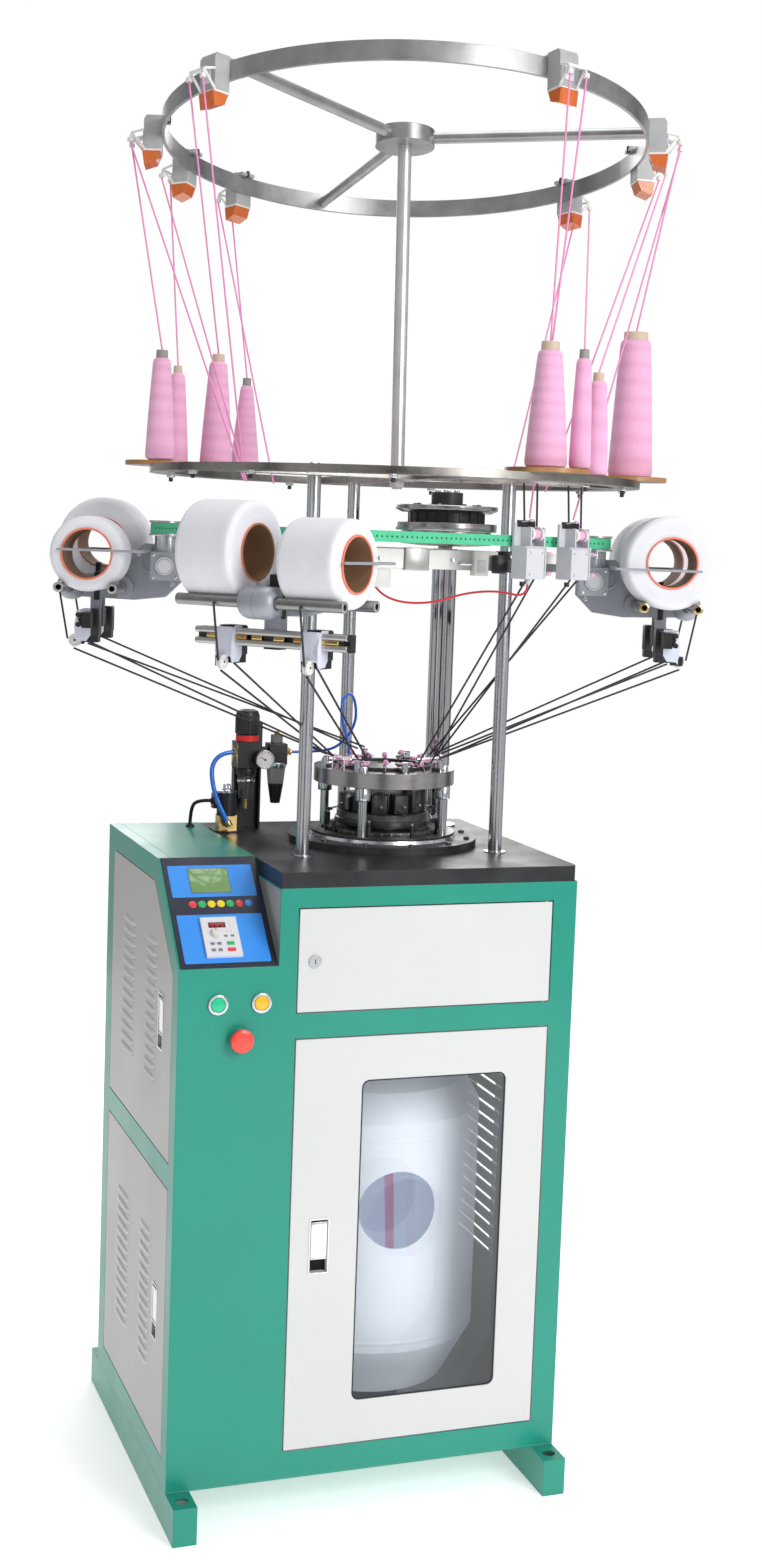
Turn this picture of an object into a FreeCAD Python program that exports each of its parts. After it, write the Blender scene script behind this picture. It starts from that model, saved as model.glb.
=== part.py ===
import FreeCAD, Part
import math
import os

from FreeCAD import Placement, Rotation, Vector

# Circular knitting machine. Millimetres; the origin lies on the floor under the middle of the cabinet,
# +X to the right of somebody who faces the front, +Y to the back, +Z up.

# ---- driving dimensions ------------------------------------------------------------------------------
HALF_W = 310.0           # cabinet half width
HALF_D = 247.5           # cabinet half depth
BASE_Z = 57.0            # underside of the cabinet, top of the foot rails
TOP_Z = 952.0            # top of the cabinet, underside of the table
TABLE_Z = 975.5          # top of the table
CONSOLE_X = -160.0       # right side of the console, left edge of the table
CONSOLE_Z = 976.0        # flat top of the console
SLOPE_Y = -101.5         # upper edge of the sloping panel
SLOPE_Z = 838.0          # lower edge of the sloping panel, on the front face
SHEET = 2.0              # sheet metal of the cabinet
FLANGE = 3.0             # thickness of the return flange around each door opening
FLANGE_DEPTH = 18.0      # how far that flange runs inward
GAP = 2.0                # gap around a door
PARTITION_X = -152.0     # wall between the electrics and the knitting side
SHELF_Z = 745.0          # shelf under the drive compartment
SHELF_HOLE_R = 80.0      # hole in that shelf for the fabric
RAIL_W = 36.0            # foot rail width
RAIL_END = 298.0         # foot rail half length
BOLT_X = HALF_W - RAIL_W / 2
BOLT_Y = 275.0
BOLT_R = 5.5
PAD_T = 6.0              # bolt pads on the floor
SOCKET_R = 10.0          # access hole above each bolt
GLAND = Vector(-230.0, HALF_D, 130.0)   # inlet of the mains lead, on the back
GLAND_BORE = 6.5

DOOR_T = 16.0            # depth of a door tray
PIVOT_IN = 8.0           # pivot axis from the hinge-side edge of a door
PIVOT_BACK = 5.0         # pivot axis behind the face of a door
PIVOT_R = 2.5
RUN_FIT = 0.05           # radial running clearance

HEAD = Vector(88.0, 25.0, 0.0)      # axis of the knitting head
RING_R = 113.0
RING_IN = 62.0
RING_Z = 1073.0
RING_TOP = 1097.0
POSTS = [(-86.0, -105.0), (231.5, -105.0), (87.6, 222.0)]
POST_R = 10.5
COLUMN = Vector(228.0, 150.0, 0.0)  # drive column
COLUMN_R = 20.5
SHAFT_R = 12.0
BELT_Z = 1457.0          # lower edge of the feed belt
BELT_H = 16.0
BELT_T = 1.6
FEED_WHEEL_R = 76.0
ARM_PULLEY_R = 24.0
TRAY_Z = 1552.0
TRAY_T = 11.4
TRAY_R = 387.0
TRAY_BAR = 40.0
MAST = Vector(92.0, 23.5, TRAY_Z + TRAY_T)
MAST_AXIS = Vector(0.0309, 0.123, 1.0)      # the mast leans back and a little to the right
MAST_R = 11.0
TOP_RING_R = 386.0
TOP_RING_H = 537.2       # along the mast, from the tray to the middle of the ring
TOP_RING_BAND = 29.0
SPOKES = (92.0, 212.0, 332.0)
GUIDES = (206.0, 162.0, 137.0, 116.0, 284.0, 333.0, 353.0, 24.0)

# a spool arm: middle of its spool axis, heading of its outward direction, the side its gearbox is on
ARMS = {
    "left": (Vector(-350.8, 184.7, 0), 160.0, 1, (58.0, 72.0)),
    "front": (Vector(-215.8, -363.0, 0), 220.0, 1, (61.0, 70.5)),
    "right": (Vector(492.5, -122.2, 0), -20.0, -1, (72.0, 72.0)),
}
ROLLER_R = 8.0
ROLLER_U = 41.0          # half the distance between the two rollers of an arm
ROLLER_Z = 1370.0
ROLLER_L = 135.0         # half length
SPOOL_IN = 34.0          # inner face of a spool, from the middle of the arm
SPOOL_W = 92.0
SPOOL_BORE = 37.0
SPOOL_TUBE = 39.5
SPOOL_LIP = 2.5
SPOOL_GAP = 0.3          # lift of a spool above its rollers
GEAR_U = -112.0          # drive shaft of an arm
GEAR_T = 35.5
WHEEL_U = 24.0           # small guide wheels
WHEEL_Z = 1286.0
WHEEL_R = 10.0
ROD_Z = 1428.0

FEED_UNITS = [Vector(219.0, -236.0, 0), Vector(306.5, -204.0, 0)]
FEED_AXIS_Z = 1476.0
BELT_HEADING = 22.6      # direction of the belt's front run

MOTOR = Vector(-60.0, 130.0, 0)
DRIVE_BELT_Z = 880.0
HEAD_PULLEY_R = 80.0
SMALL_PULLEY_R = 30.0
BARREL_R = 175.0
BARREL_HOLE = (-94.0, 420.0, 62.0)  # heading, height and radius of the round hole

Z = Vector(0, 0, 1)


# ---- helpers -----------------------------------------------------------------------------------------
def box(x0, x1, y0, y1, z0, z1):
    return Part.makeBox(x1 - x0, y1 - y0, z1 - z0, Vector(x0, y0, z0))


def rod(radius, start, end):
    line = end - start
    return Part.makeCylinder(radius, line.Length, start, line)


def tube(outer, inner, start, end):
    return rod(outer, start, end).cut(rod(inner, start, end))


def fuse(shapes):
    joined = shapes[0]
    if len(shapes) > 1:
        joined = shapes[0].multiFuse(shapes[1:])
    return joined.removeSplitter()


def cut(shape, tools):
    return shape.cut(Part.makeCompound(tools))


def face(points):
    return Part.Face(Part.makePolygon(points + [points[0]]))


def grown(flat, distance):
    """The outline moved outward by a distance, or inward if it is negative, with sharp corners."""
    return flat.makeOffset2D(distance, 2)


def lathe(profile, centre):
    """Turn a closed (radius, height) profile about a vertical axis."""
    points = [centre + Vector(r, 0, z) for r, z in profile]
    return face(points).revolve(centre, Z, 360)


def placed(shape, origin, turn):
    moved = shape.copy()
    moved.Placement = Placement(origin, turn).multiply(moved.Placement)
    return moved


def save(name, shape):
    for solid in shape.Solids:
        if not solid.isValid():
            raise ValueError(name + " is not valid")
    shape.exportStep("parts/" + name + ".step")
    print(name, len(shape.Solids), round(shape.Volume / 1000.0, 1), "cm3")


def smooth_path(points, largest=None):
    """Straight runs joined by tangent arcs, each as large as its two runs allow."""
    edges = []
    at = points[0]
    radii = []
    for before, corner, after in zip(points, points[1:], points[2:]):
        into = (corner - before).normalize()
        out = (after - corner).normalize()
        half = into.getAngle(out) / 2
        reach = 0.45 * min((corner - before).Length, (after - corner).Length)
        radius = reach / math.tan(half)
        if largest and radius > largest:
            radius = largest
            reach = radius * math.tan(half)
        start = corner - into * reach
        end = corner + out * reach
        inward = (out - into).normalize()
        middle = corner + inward * (radius / math.cos(half) - radius)
        edges.append(Part.LineSegment(at, start).toShape())
        edges.append(Part.Arc(start, middle, end).toShape())
        radii.append(round(radius, 1))
        at = end
    edges.append(Part.LineSegment(at, points[-1]).toShape())
    return Part.Wire(edges), radii


def ferrule(end, before, radius, length):
    """The fitting that a hose or cable enters squarely: it carries on in line with the hose's last run."""
    return rod(radius, end, end + (end - before).normalize() * length)


def hose(name, points, radius):
    path, radii = smooth_path(points)
    start = (points[1] - points[0]).normalize()
    section = Part.Wire(Part.makeCircle(radius, points[0], start))
    solid = path.makePipeShell([section], True, False)
    expected = math.pi * radius ** 2 * path.Length
    print(name, "length", round(path.Length), "radii", radii, "volume ratio", round(solid.Volume / expected, 3))
    return solid


# ---- doors -------------------------------------------------------------------------------------------
def front_outline(x0, x1, z0, z1):
    return face([Vector(x, -HALF_D, z) for x, z in ((x0, z0), (x1, z0), (x1, z1), (x0, z1))])


def side_outline(points):
    return face([Vector(-HALF_W, y, z) for y, z in points])


DOORS = {
    "front_upper_door": (front_outline(-131, 270, 768, 921), Vector(0, 1, 0)),
    "front_lower_door": (front_outline(-131, 270, 101, 727), Vector(0, 1, 0)),
    "left_upper_door": (side_outline([(204, 544.5), (-213, 544.5), (-213, 823), (-85.5, 939), (204, 939)]),
                        Vector(1, 0, 0)),
    "left_lower_door": (side_outline([(204, 99), (-213, 99), (-213, 503.5), (204, 503.5)]), Vector(1, 0, 0)),
}
FRONT_PIVOT = Vector(270 - PIVOT_IN, -HALF_D + PIVOT_BACK, 0)
SIDE_PIVOT = Vector(-HALF_W + PIVOT_BACK, 204 - PIVOT_IN, 0)
LATCHES = {
    "front_latch": ("front_lower_door", Vector(-86, -HALF_D, 412), Rotation(Z, 0)),
    "side_upper_latch": ("left_upper_door", Vector(-HALF_W, -146, 739), Rotation(Z, -90)),
    "side_lower_latch": ("left_lower_door", Vector(-HALF_W, -152, 298), Rotation(Z, -90)),
}
LATCH_W = 27.0
LATCH_H = 80.0
LATCH_CUP = 11.0
LATCH_AXIS_Z = 33.0      # pivot of the paddle above the middle of the latch
LATCH_AXIS_Y = 2.5
LATCH_PIN_R = 1.5
LOCK = Vector(-106, -HALF_D, 843)
LOCK_R = 8.0
WINDOW = (-26.5, 205.0, 167.0, 661.0)
WINDOW_CORNER = 12.0


def pivot_of(name):
    return FRONT_PIVOT if name.startswith("front") else SIDE_PIVOT


def door_heights(name):
    outline = DOORS[name][0].BoundBox
    return outline.ZMin, outline.ZMax


def pivot_pins(name, radius, reach):
    low, high = door_heights(name)
    at = pivot_of(name)
    return [rod(radius, at + Z * (low - reach), at + Z * (low + 10)),
            rod(radius, at + Z * (high - 10), at + Z * (high + reach))]


def latch_cup_parts(origin, turn):
    half_w = LATCH_W / 2
    half_h = LATCH_H / 2
    outside = box(-half_w - 2, half_w + 2, 0.5, LATCH_CUP + 2, -half_h - 2, half_h + 2)
    inside = box(-half_w, half_w, -1, LATCH_CUP, -half_h, half_h)
    pin = rod(LATCH_PIN_R + RUN_FIT, Vector(-half_w - 1.4, LATCH_AXIS_Y, LATCH_AXIS_Z),
              Vector(half_w + 1.4, LATCH_AXIS_Y, LATCH_AXIS_Z))
    return placed(outside, origin, turn), placed(fuse([inside, pin]), origin, turn)


def latch_paddle():
    plate = box(-12.5, 12.5, 0, 3, -20, LATCH_AXIS_Z + 4)
    grip = box(-12.5, 12.5, 0, 8, -20, -16)
    pin = rod(LATCH_PIN_R, Vector(-LATCH_W / 2 - 1.2, LATCH_AXIS_Y, LATCH_AXIS_Z),
              Vector(LATCH_W / 2 + 1.2, LATCH_AXIS_Y, LATCH_AXIS_Z))
    boss = rod(3.0, Vector(-12.5, LATCH_AXIS_Y + 1, LATCH_AXIS_Z), Vector(12.5, LATCH_AXIS_Y + 1, LATCH_AXIS_Z))
    return fuse([plate, grip, pin, boss.common(box(-20, 20, 0, 20, 0, 60))])


def door(name):
    outline, inward = DOORS[name]
    tray = outline.extrude(inward * DOOR_T)
    pocket = grown(outline, -SHEET).extrude(inward * DOOR_T)
    pocket.translate(inward * SHEET)
    low, high = door_heights(name)
    at = pivot_of(name)
    bosses = [rod(4.5, at + Z * low, at + Z * (low + 14)), rod(4.5, at + Z * (high - 14), at + Z * high)]
    body = fuse([tray.cut(pocket)] + bosses + pivot_pins(name, PIVOT_R, GAP + FLANGE + 0.5))
    for owner, origin, turn in LATCHES.values():
        if owner == name:
            cup, hollow = latch_cup_parts(origin, turn)
            body = fuse([body, cup]).cut(hollow)
    if name == "front_upper_door":
        sleeve = rod(LOCK_R + 4, LOCK + Vector(0, 1, 0), LOCK + Vector(0, 12, 0))
        body = fuse([body, sleeve]).cut(rod(LOCK_R + RUN_FIT, LOCK - Vector(0, 1, 0), LOCK + Vector(0, 14, 0)))
    if name == "front_lower_door":
        body = body.cut(window_shape(0.0, -HALF_D - 1, SHEET + 2))
    return body


def window_shape(margin, y0, depth):
    x0, x1, z0, z1 = WINDOW
    shape = box(x0 - margin, x1 + margin, y0, y0 + depth, z0 - margin, z1 + margin)
    upright = [edge for edge in shape.Edges if abs(edge.tangentAt(edge.FirstParameter).y) > 0.9]
    return shape.makeFillet(WINDOW_CORNER, upright)


def front_lock():
    head = rod(9.5, LOCK - Vector(0, 2.5, 0), LOCK - Vector(0, 0.3, 0))
    barrel = rod(LOCK_R, LOCK - Vector(0, 0.5, 0), LOCK + Vector(0, 21.4, 0))
    cam = box(LOCK.x - 6, LOCK.x + 6, LOCK.y + 21.4, LOCK.y + 23.4, LOCK.z - 38, LOCK.z + 7)
    key_slot = box(LOCK.x - 0.6, LOCK.x + 0.6, LOCK.y - 3, LOCK.y + 8, LOCK.z - 3.5, LOCK.z + 3.5)
    return fuse([head, barrel, cam]).cut(key_slot)


# ---- cabinet -----------------------------------------------------------------------------------------
def console_profile(inset):
    low = BASE_Z + inset
    front = -HALF_D + inset
    slope = math.atan2(CONSOLE_Z - SLOPE_Z, SLOPE_Y + HALF_D)
    bend = inset * math.tan(slope / 2)
    knee = inset * math.tan((math.pi / 2 - slope) / 2)
    return [(front, low), (HALF_D - inset, low), (HALF_D - inset, CONSOLE_Z - inset),
            (SLOPE_Y + bend, CONSOLE_Z - inset), (front, SLOPE_Z - knee)]


def console_prism(x0, x1, inset):
    outline = face([Vector(x0, y, z) for y, z in console_profile(inset)])
    return outline.extrude(Vector(x1 - x0, 0, 0))


def foot_rail(side):
    """An inverted channel with a bolt pad on the floor at each end; the bolt is reached from above."""
    x0 = side * BOLT_X - RAIL_W / 2
    rail = box(x0, x0 + RAIL_W, -RAIL_END, RAIL_END, 0, BASE_Z)
    hollow = box(x0 + 3, x0 + RAIL_W - 3, -RAIL_END + 3, RAIL_END - 3, -1, BASE_Z - 3)
    rail = rail.cut(hollow)
    for y in (-BOLT_Y, BOLT_Y):
        at = Vector(side * BOLT_X, y, 0)
        pad = box(x0 + 2, x0 + RAIL_W - 2, y - 20, y + 20, 0, PAD_T)
        rail = fuse([rail, pad])
        rail = cut(rail, [rod(BOLT_R, at - Z, at + Z * (PAD_T + 1)), rod(SOCKET_R, at + Z * 40, at + Z * 60)])
    return rail


BUTTONS = {"start_button": (-251.0, 785.5), "jog_button": (-186.0, 785.5), "estop_button": (-217.0, 733.5)}
BUTTON_R = 10.7
STEM_R = 8.0
BEZEL_R = 14.7
BEZEL_T = 3.5


def stem_radius(name):
    return STEM_R if name == "estop_button" else BUTTON_R


def louvre_slots():
    slots = []
    for y0 in (-112.0, 30.0):
        for row in range(20):
            z0 = 270.0 + 22.0 * row
            slots.append(box(HALF_W - SHEET - 1, HALF_W + 1, y0, y0 + 82.0, z0, z0 + 5.0))
    return slots


def cabinet_shell():
    outside = fuse([box(CONSOLE_X - 1, HALF_W, -HALF_D, HALF_D, BASE_Z, TOP_Z),
                    console_prism(-HALF_W, CONSOLE_X, 0)])
    inside = fuse([box(CONSOLE_X - 20, HALF_W - SHEET, -HALF_D + SHEET, HALF_D - SHEET, BASE_Z + SHEET,
                       TOP_Z - SHEET),
                   console_prism(-HALF_W + SHEET, CONSOLE_X - SHEET, SHEET)])
    partition = box(PARTITION_X, PARTITION_X + SHEET, -HALF_D + 1, HALF_D - 1, BASE_Z + 1, TOP_Z - 1)
    shelf = box(PARTITION_X, HALF_W - 1, -HALF_D + 1, HALF_D - 1, SHELF_Z, SHELF_Z + 3)
    pieces = [outside.cut(inside), partition, shelf]
    for outline, inward in DOORS.values():
        rim = grown(outline, GAP + FLANGE).cut(grown(outline, GAP))
        pieces.append(rim.extrude(inward * (SHEET + FLANGE_DEPTH)))
    shell = fuse(pieces)
    tools = [grown(outline, GAP).extrude(inward * 6).translated(inward * -2)
             for outline, inward in DOORS.values()]
    for name in DOORS:
        tools += pivot_pins(name, PIVOT_R + RUN_FIT, GAP + FLANGE + 2)
    tools.append(box(-140, 290, -227, 227, TOP_Z - SHEET - 1, TOP_Z + 1))
    tools.append(rod(SHELF_HOLE_R, HEAD + Z * (SHELF_Z - 1), HEAD + Z * (SHELF_Z + 4)))
    for name, (x, z) in BUTTONS.items():
        at = Vector(x, -HALF_D, z)
        tools.append(rod(stem_radius(name) + 0.4, at - Vector(0, 1, 0), at + Vector(0, 4, 0)))
    gland = rod(13, GLAND - Vector(0, SHEET, 0), GLAND + Vector(0, 14, 0))
    shell = fuse([cut(shell, tools + louvre_slots()), foot_rail(-1), foot_rail(1), gland])
    shell = shell.cut(rod(GLAND_BORE, GLAND - Vector(0, 10, 0), GLAND + Vector(0, 20, 0)))
    return in_panels(shell)


def in_panels(shell):
    """The shell as the separate panels it is joined from: rails, floor, four walls, partition, shelf, roof."""
    far = 2 * HALF_W
    floor = BASE_Z + SHEET
    roof = 2 * TOP_Z
    front = -HALF_D + SHEET + FLANGE_DEPTH
    back = HALF_D - SHEET
    left = -HALF_W + SHEET + FLANGE_DEPTH
    right = HALF_W - SHEET
    middle = PARTITION_X + SHEET
    regions = [box(-far, far, -far, far, 0, BASE_Z), box(-far, far, -far, far, BASE_Z, floor),
               box(-far, far, -far, front, floor, roof), box(-far, far, back, far, floor, roof),
               box(-far, left, front, back, floor, roof), box(right, far, front, back, floor, roof),
               box(left, middle, front, back, floor, roof), box(middle, right, front, back, floor, roof)]
    panels = []
    for region in regions:
        panels += shell.common(region).Solids
    return Part.makeCompound(panels)


# ---- operator panel ----------------------------------------------------------------------------------
PANEL = (Vector(0, -HALF_D, SLOPE_Z),
         Rotation(Vector(1, 0, 0), math.degrees(math.atan2(CONSOLE_Z - SLOPE_Z, SLOPE_Y + HALF_D))))
PLATE_T = 2.0
KEYPAD = (-266.5, -212.7, 17.0, 86.0)
KEYPAD_T = 5.0
KNOB = (-248.0, 56.0)


def control_panel():
    plate = box(-306.5, -162.0, 1.0, 199.5, 0, PLATE_T)
    x0, x1, y0, y1 = KEYPAD
    keypad = box(x0, x1, y0, y1, 0, PLATE_T + KEYPAD_T)
    well = rod(3.0 + RUN_FIT, Vector(KNOB[0], KNOB[1], PLATE_T + 0.5), Vector(KNOB[0], KNOB[1], 20))
    panel = placed(fuse([plate, keypad]).cut(well), *PANEL)
    bezels = []
    for name, (x, z) in BUTTONS.items():
        at = Vector(x, -HALF_D, z)
        bezels.append(tube(BEZEL_R, stem_radius(name) + 0.4, at - Vector(0, BEZEL_T, 0), at))
    return Part.makeCompound([panel] + bezels)


def keypad_knob():
    low = PLATE_T + KEYPAD_T
    at = Vector(KNOB[0], KNOB[1], 0)
    shaft = rod(3.0, at + Z * (PLATE_T + 0.8), at + Z * (low + 1))
    cap = rod(6.5, at + Z * (low + 0.4), at + Z * (low + 7))
    return placed(fuse([shaft, cap]), *PANEL)


def push_button(name):
    at = Vector(BUTTONS[name][0], -HALF_D, BUTTONS[name][1])
    if name == "estop_button":
        stem = rod(STEM_R, at - Vector(0, 10, 0), at + Vector(0, 16, 0))
        head = rod(17.5, at - Vector(0, 19, 0), at - Vector(0, 9.5, 0))
        return fuse([stem, head])
    return rod(BUTTON_R, at - Vector(0, BEZEL_T + 1.0, 0), at + Vector(0, 14, 0))


# ---- knitting head and its drive ---------------------------------------------------------------------
COLUMN_ANGLES = [-38.0 + 90.0 * step for step in range(4)]
HEAD_COLUMN_R = 100.0


def head_base():
    flange = lathe([(62, TABLE_Z), (152, TABLE_Z), (152, 987), (62, 987)], HEAD)
    step = lathe([(96, 987), (118, 987), (116, 992), (98, 992)], HEAD)
    columns = []
    for angle in COLUMN_ANGLES:
        turn = math.radians(angle)
        at = HEAD + Vector(HEAD_COLUMN_R * math.cos(turn), HEAD_COLUMN_R * math.sin(turn), 0)
        columns.append(rod(7.0, at + Z * 990, at + Z * (RING_Z)))
        columns.append(rod(11.0, at + Z * 1052, at + Z * (RING_Z)))
    return fuse([flange, step] + columns)


CARRIERS = (0, 48, 90, 180, 225, 270, 315)
CARRIER_R = 98.0         # distance of a yarn carrier from the head axis


def stitch_ring():
    ring = lathe([(RING_IN, RING_Z), (RING_R, RING_Z), (RING_R, RING_TOP), (RING_IN, RING_TOP)], HEAD)
    carriers = [rod(5.0, HOSE_OUT[-1] - Z * 15, HOSE_OUT[-1])]
    for heading in CARRIERS:
        foot = around(heading, CARRIER_R, RING_TOP - 1)
        top = around(heading, CARRIER_R, RING_TOP + 17)
        carriers.append(rod(5.0, foot, top))
        carriers.append(rod(2.5, top - Z * 4, around(heading, 56, RING_TOP + 10)))
    return fuse([ring] + carriers)


def needle_cylinder():
    barrel = lathe([(36, DRIVE_BELT_Z - 4), (52, DRIVE_BELT_Z - 4), (52, 1003), (44, 1003), (44, 1088),
                    (48, 1088), (48, 1094), (36, 1094)], HEAD)
    gear = lathe([(50, 989), (88, 989), (88, 1001), (50, 1001)], HEAD)
    pulley = lathe([(50, DRIVE_BELT_Z - 4), (84, DRIVE_BELT_Z - 4), (84, DRIVE_BELT_Z - 1),
                    (HEAD_PULLEY_R, DRIVE_BELT_Z - 1), (HEAD_PULLEY_R, DRIVE_BELT_Z + 21),
                    (84, DRIVE_BELT_Z + 21), (84, DRIVE_BELT_Z + 24), (50, DRIVE_BELT_Z + 24)], HEAD)
    dial = lathe([(12, 1094), (46, 1094), (46, 1099), (12, 1103)], HEAD)
    return fuse([barrel, gear, pulley, dial])


def main_motor():
    can = rod(52, MOTOR + Z * 768, MOTOR + Z * 858)
    cap = rod(44, MOTOR + Z * 758, MOTOR + Z * 768)
    plate = box(MOTOR.x - 62, MOTOR.x + 62, MOTOR.y - 62, MOTOR.y + 62, 858, 866)
    feet = [box(MOTOR.x + sx * 54 - 6, MOTOR.x + sx * 54 + 6, MOTOR.y + sy * 54 - 6, MOTOR.y + sy * 54 + 6,
                SHELF_Z + 3, 860) for sx in (-1, 1) for sy in (-1, 1)]
    body = fuse([can, cap, plate] + feet)
    return body.cut(rod(9 + RUN_FIT, MOTOR + Z * 840, MOTOR + Z * 870))


def motor_pulley():
    hub = lathe([(0, 842), (9, 842), (9, DRIVE_BELT_Z - 4), (34, DRIVE_BELT_Z - 4), (34, DRIVE_BELT_Z - 1),
                 (SMALL_PULLEY_R, DRIVE_BELT_Z - 1), (SMALL_PULLEY_R, DRIVE_BELT_Z + 21),
                 (34, DRIVE_BELT_Z + 21), (34, DRIVE_BELT_Z + 24), (0, DRIVE_BELT_Z + 24)], MOTOR)
    return hub


def belt_loop(wheels, low, height, clearance, thickness):
    """A flat belt around a ring of pulleys, given as (centre, radius) counter-clockwise from above."""
    def loop(extra):
        edges = []
        tangents = []
        for (c0, r0), (c1, r1) in zip(wheels, wheels[1:] + wheels[:1]):
            line = c1 - c0
            lean = math.asin((r0 - r1) / line.Length)
            heading = math.atan2(line.y, line.x) - math.pi / 2 + lean
            out = Vector(math.cos(heading), math.sin(heading), 0)
            tangents.append((c0 + out * (r0 + extra), c1 + out * (r1 + extra), heading))
        for index, (start, end, heading) in enumerate(tangents):
            centre, radius = wheels[index]
            arrive = tangents[index - 1]
            sweep = (heading - arrive[2]) % (2 * math.pi)
            middle = arrive[2] + sweep / 2
            top = centre + Vector(math.cos(middle), math.sin(middle), 0) * (radius + extra)
            edges.append(Part.Arc(arrive[1], top, start).toShape())
            edges.append(Part.LineSegment(start, end).toShape())
        outline = Part.Face(Part.Wire(edges))
        outline.translate(Z * low)
        return outline.extrude(Z * height)
    return loop(clearance + thickness).cut(loop(clearance))


def drive_belt():
    wheels = [(COLUMN, SMALL_PULLEY_R), (MOTOR, SMALL_PULLEY_R), (HEAD, HEAD_PULLEY_R)]
    return belt_loop(wheels, DRIVE_BELT_Z, 20.0, 0.3, 3.0)


def fabric_barrel():
    outer = [(60, 640), (70, 634), (110, 624), (150, 600), (BARREL_R, 556), (BARREL_R, 190), (130, 108),
             (0, 108)]
    wall = 3.5
    inner = [(0, 108 + wall), (130 - 1.5, 108 + wall), (BARREL_R - wall, 191), (BARREL_R - wall, 555),
             (148, 597), (109, 620.5), (69, 630.5), (56, 640)]
    shell = lathe(outer + inner, HEAD)
    heading, height, radius = BARREL_HOLE
    turn = math.radians(heading)
    out = Vector(math.cos(turn), math.sin(turn), 0)
    hole = rod(radius, HEAD + Z * height + out * 60, HEAD + Z * height + out * 220)
    spindle = rod(14, HEAD + Z * 84, HEAD + Z * 109)
    socket = rod(6 + RUN_FIT, HEAD + Z * 80, HEAD + Z * 104)
    return fuse([cut(shell, [hole]), spindle]).cut(socket)


def barrel_stand():
    low = BASE_Z + SHEET
    plate = rod(60, HEAD + Z * low, HEAD + Z * (low + 6))
    pin = rod(6, HEAD + Z * low, HEAD + Z * 103)
    thrust = rod(20, HEAD + Z * low, HEAD + Z * 83.7)
    return fuse([plate, pin, thrust])


FABRIC_PATH = [Vector(88, 25, 1088), Vector(88.5, 25, 960), Vector(92, 24, 830), Vector(99, 22, 700),
               Vector(108, 20, 570), Vector(118, 17, 430), Vector(127, 18, 290), Vector(131, 21, 150)]


# ---- posts, drive column and feed drive --------------------------------------------------------------
def support_posts():
    posts = []
    for x, y in POSTS:
        at = Vector(x, y, 0)
        post = rod(POST_R, at + Z * TABLE_Z, at + Z * TRAY_Z)
        flat = rod(17, at + Z * TABLE_Z, at + Z * (TABLE_Z + 1.5))
        stud = rod(6, at + Z * TRAY_Z, at + Z * (TRAY_Z + TRAY_T + 4))
        nut = Part.makeSphere(11, at + Z * (TRAY_Z + TRAY_T), Z, 0, 90, 360)
        washer = rod(13, at + Z * (TRAY_Z + TRAY_T), at + Z * (TRAY_Z + TRAY_T + 3))
        posts.append(fuse([post, flat, stud, nut, washer]))
    column = tube(COLUMN_R, SHAFT_R + 1.5, COLUMN + Z * TABLE_Z, COLUMN + Z * 1448)
    foot = tube(34, SHAFT_R + 1.5, COLUMN + Z * TABLE_Z, COLUMN + Z * (TABLE_Z + 8))
    bush = tube(SHAFT_R + 2, SHAFT_R + RUN_FIT, COLUMN + Z * 1430, COLUMN + Z * 1448)
    return Part.makeCompound(posts + [fuse([column, foot, bush])])


def feed_wheel():
    shaft = rod(SHAFT_R, COLUMN + Z * (DRIVE_BELT_Z - 4), COLUMN + Z * 1530)
    low_pulley = lathe([(10, DRIVE_BELT_Z - 4), (34, DRIVE_BELT_Z - 4), (34, DRIVE_BELT_Z - 1),
                        (SMALL_PULLEY_R, DRIVE_BELT_Z - 1), (SMALL_PULLEY_R, DRIVE_BELT_Z + 21),
                        (34, DRIVE_BELT_Z + 21), (34, DRIVE_BELT_Z + 24), (10, DRIVE_BELT_Z + 24)], COLUMN)
    wheel = lathe([(10, 1452), (40, 1452), (FEED_WHEEL_R, 1455), (FEED_WHEEL_R, 1477), (84, 1477),
                   (84, 1490), (63, 1490), (63, 1507), (74, 1507), (85, 1512), (85, 1519), (26, 1519),
                   (26, 1541), (10, 1541)], COLUMN)
    return fuse([shaft, low_pulley, wheel])


def feed_belt():
    wheels = [(arm_point("front", GEAR_U, GEAR_T), ARM_PULLEY_R),
              (arm_point("right", GEAR_U, GEAR_T), ARM_PULLEY_R),
              (COLUMN, FEED_WHEEL_R),
              (arm_point("left", GEAR_U, GEAR_T), ARM_PULLEY_R)]
    return belt_loop(wheels, BELT_Z, BELT_H, 0.3, BELT_T)


def bar_between(start, end, thickness, z0, z1):
    line = end - start
    bar = box(0, line.Length, -thickness / 2, thickness / 2, z0, z1)
    return placed(bar, start, Rotation(Z, math.degrees(math.atan2(line.y, line.x))))


def feed_unit(at):
    turn = Rotation(Z, BELT_HEADING)
    case = box(-30, 8, -15, 13, 1409, 1455)
    back = box(-30, 17, 12, 16, 1409, 1492)
    ears = [box(x - 1.5, x + 1.5, -8, 13, 1455, 1486) for x in (-14.5, 14.5)]
    shelf = box(-30, 17, -12, 13, 1453, 1458)
    pin_bore = rod(2.5 + RUN_FIT, Vector(-13.8, 0, FEED_AXIS_Z), Vector(17, 0, FEED_AXIS_Z))
    return placed(fuse([case, back, shelf] + ears).cut(pin_bore), at, turn)


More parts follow.
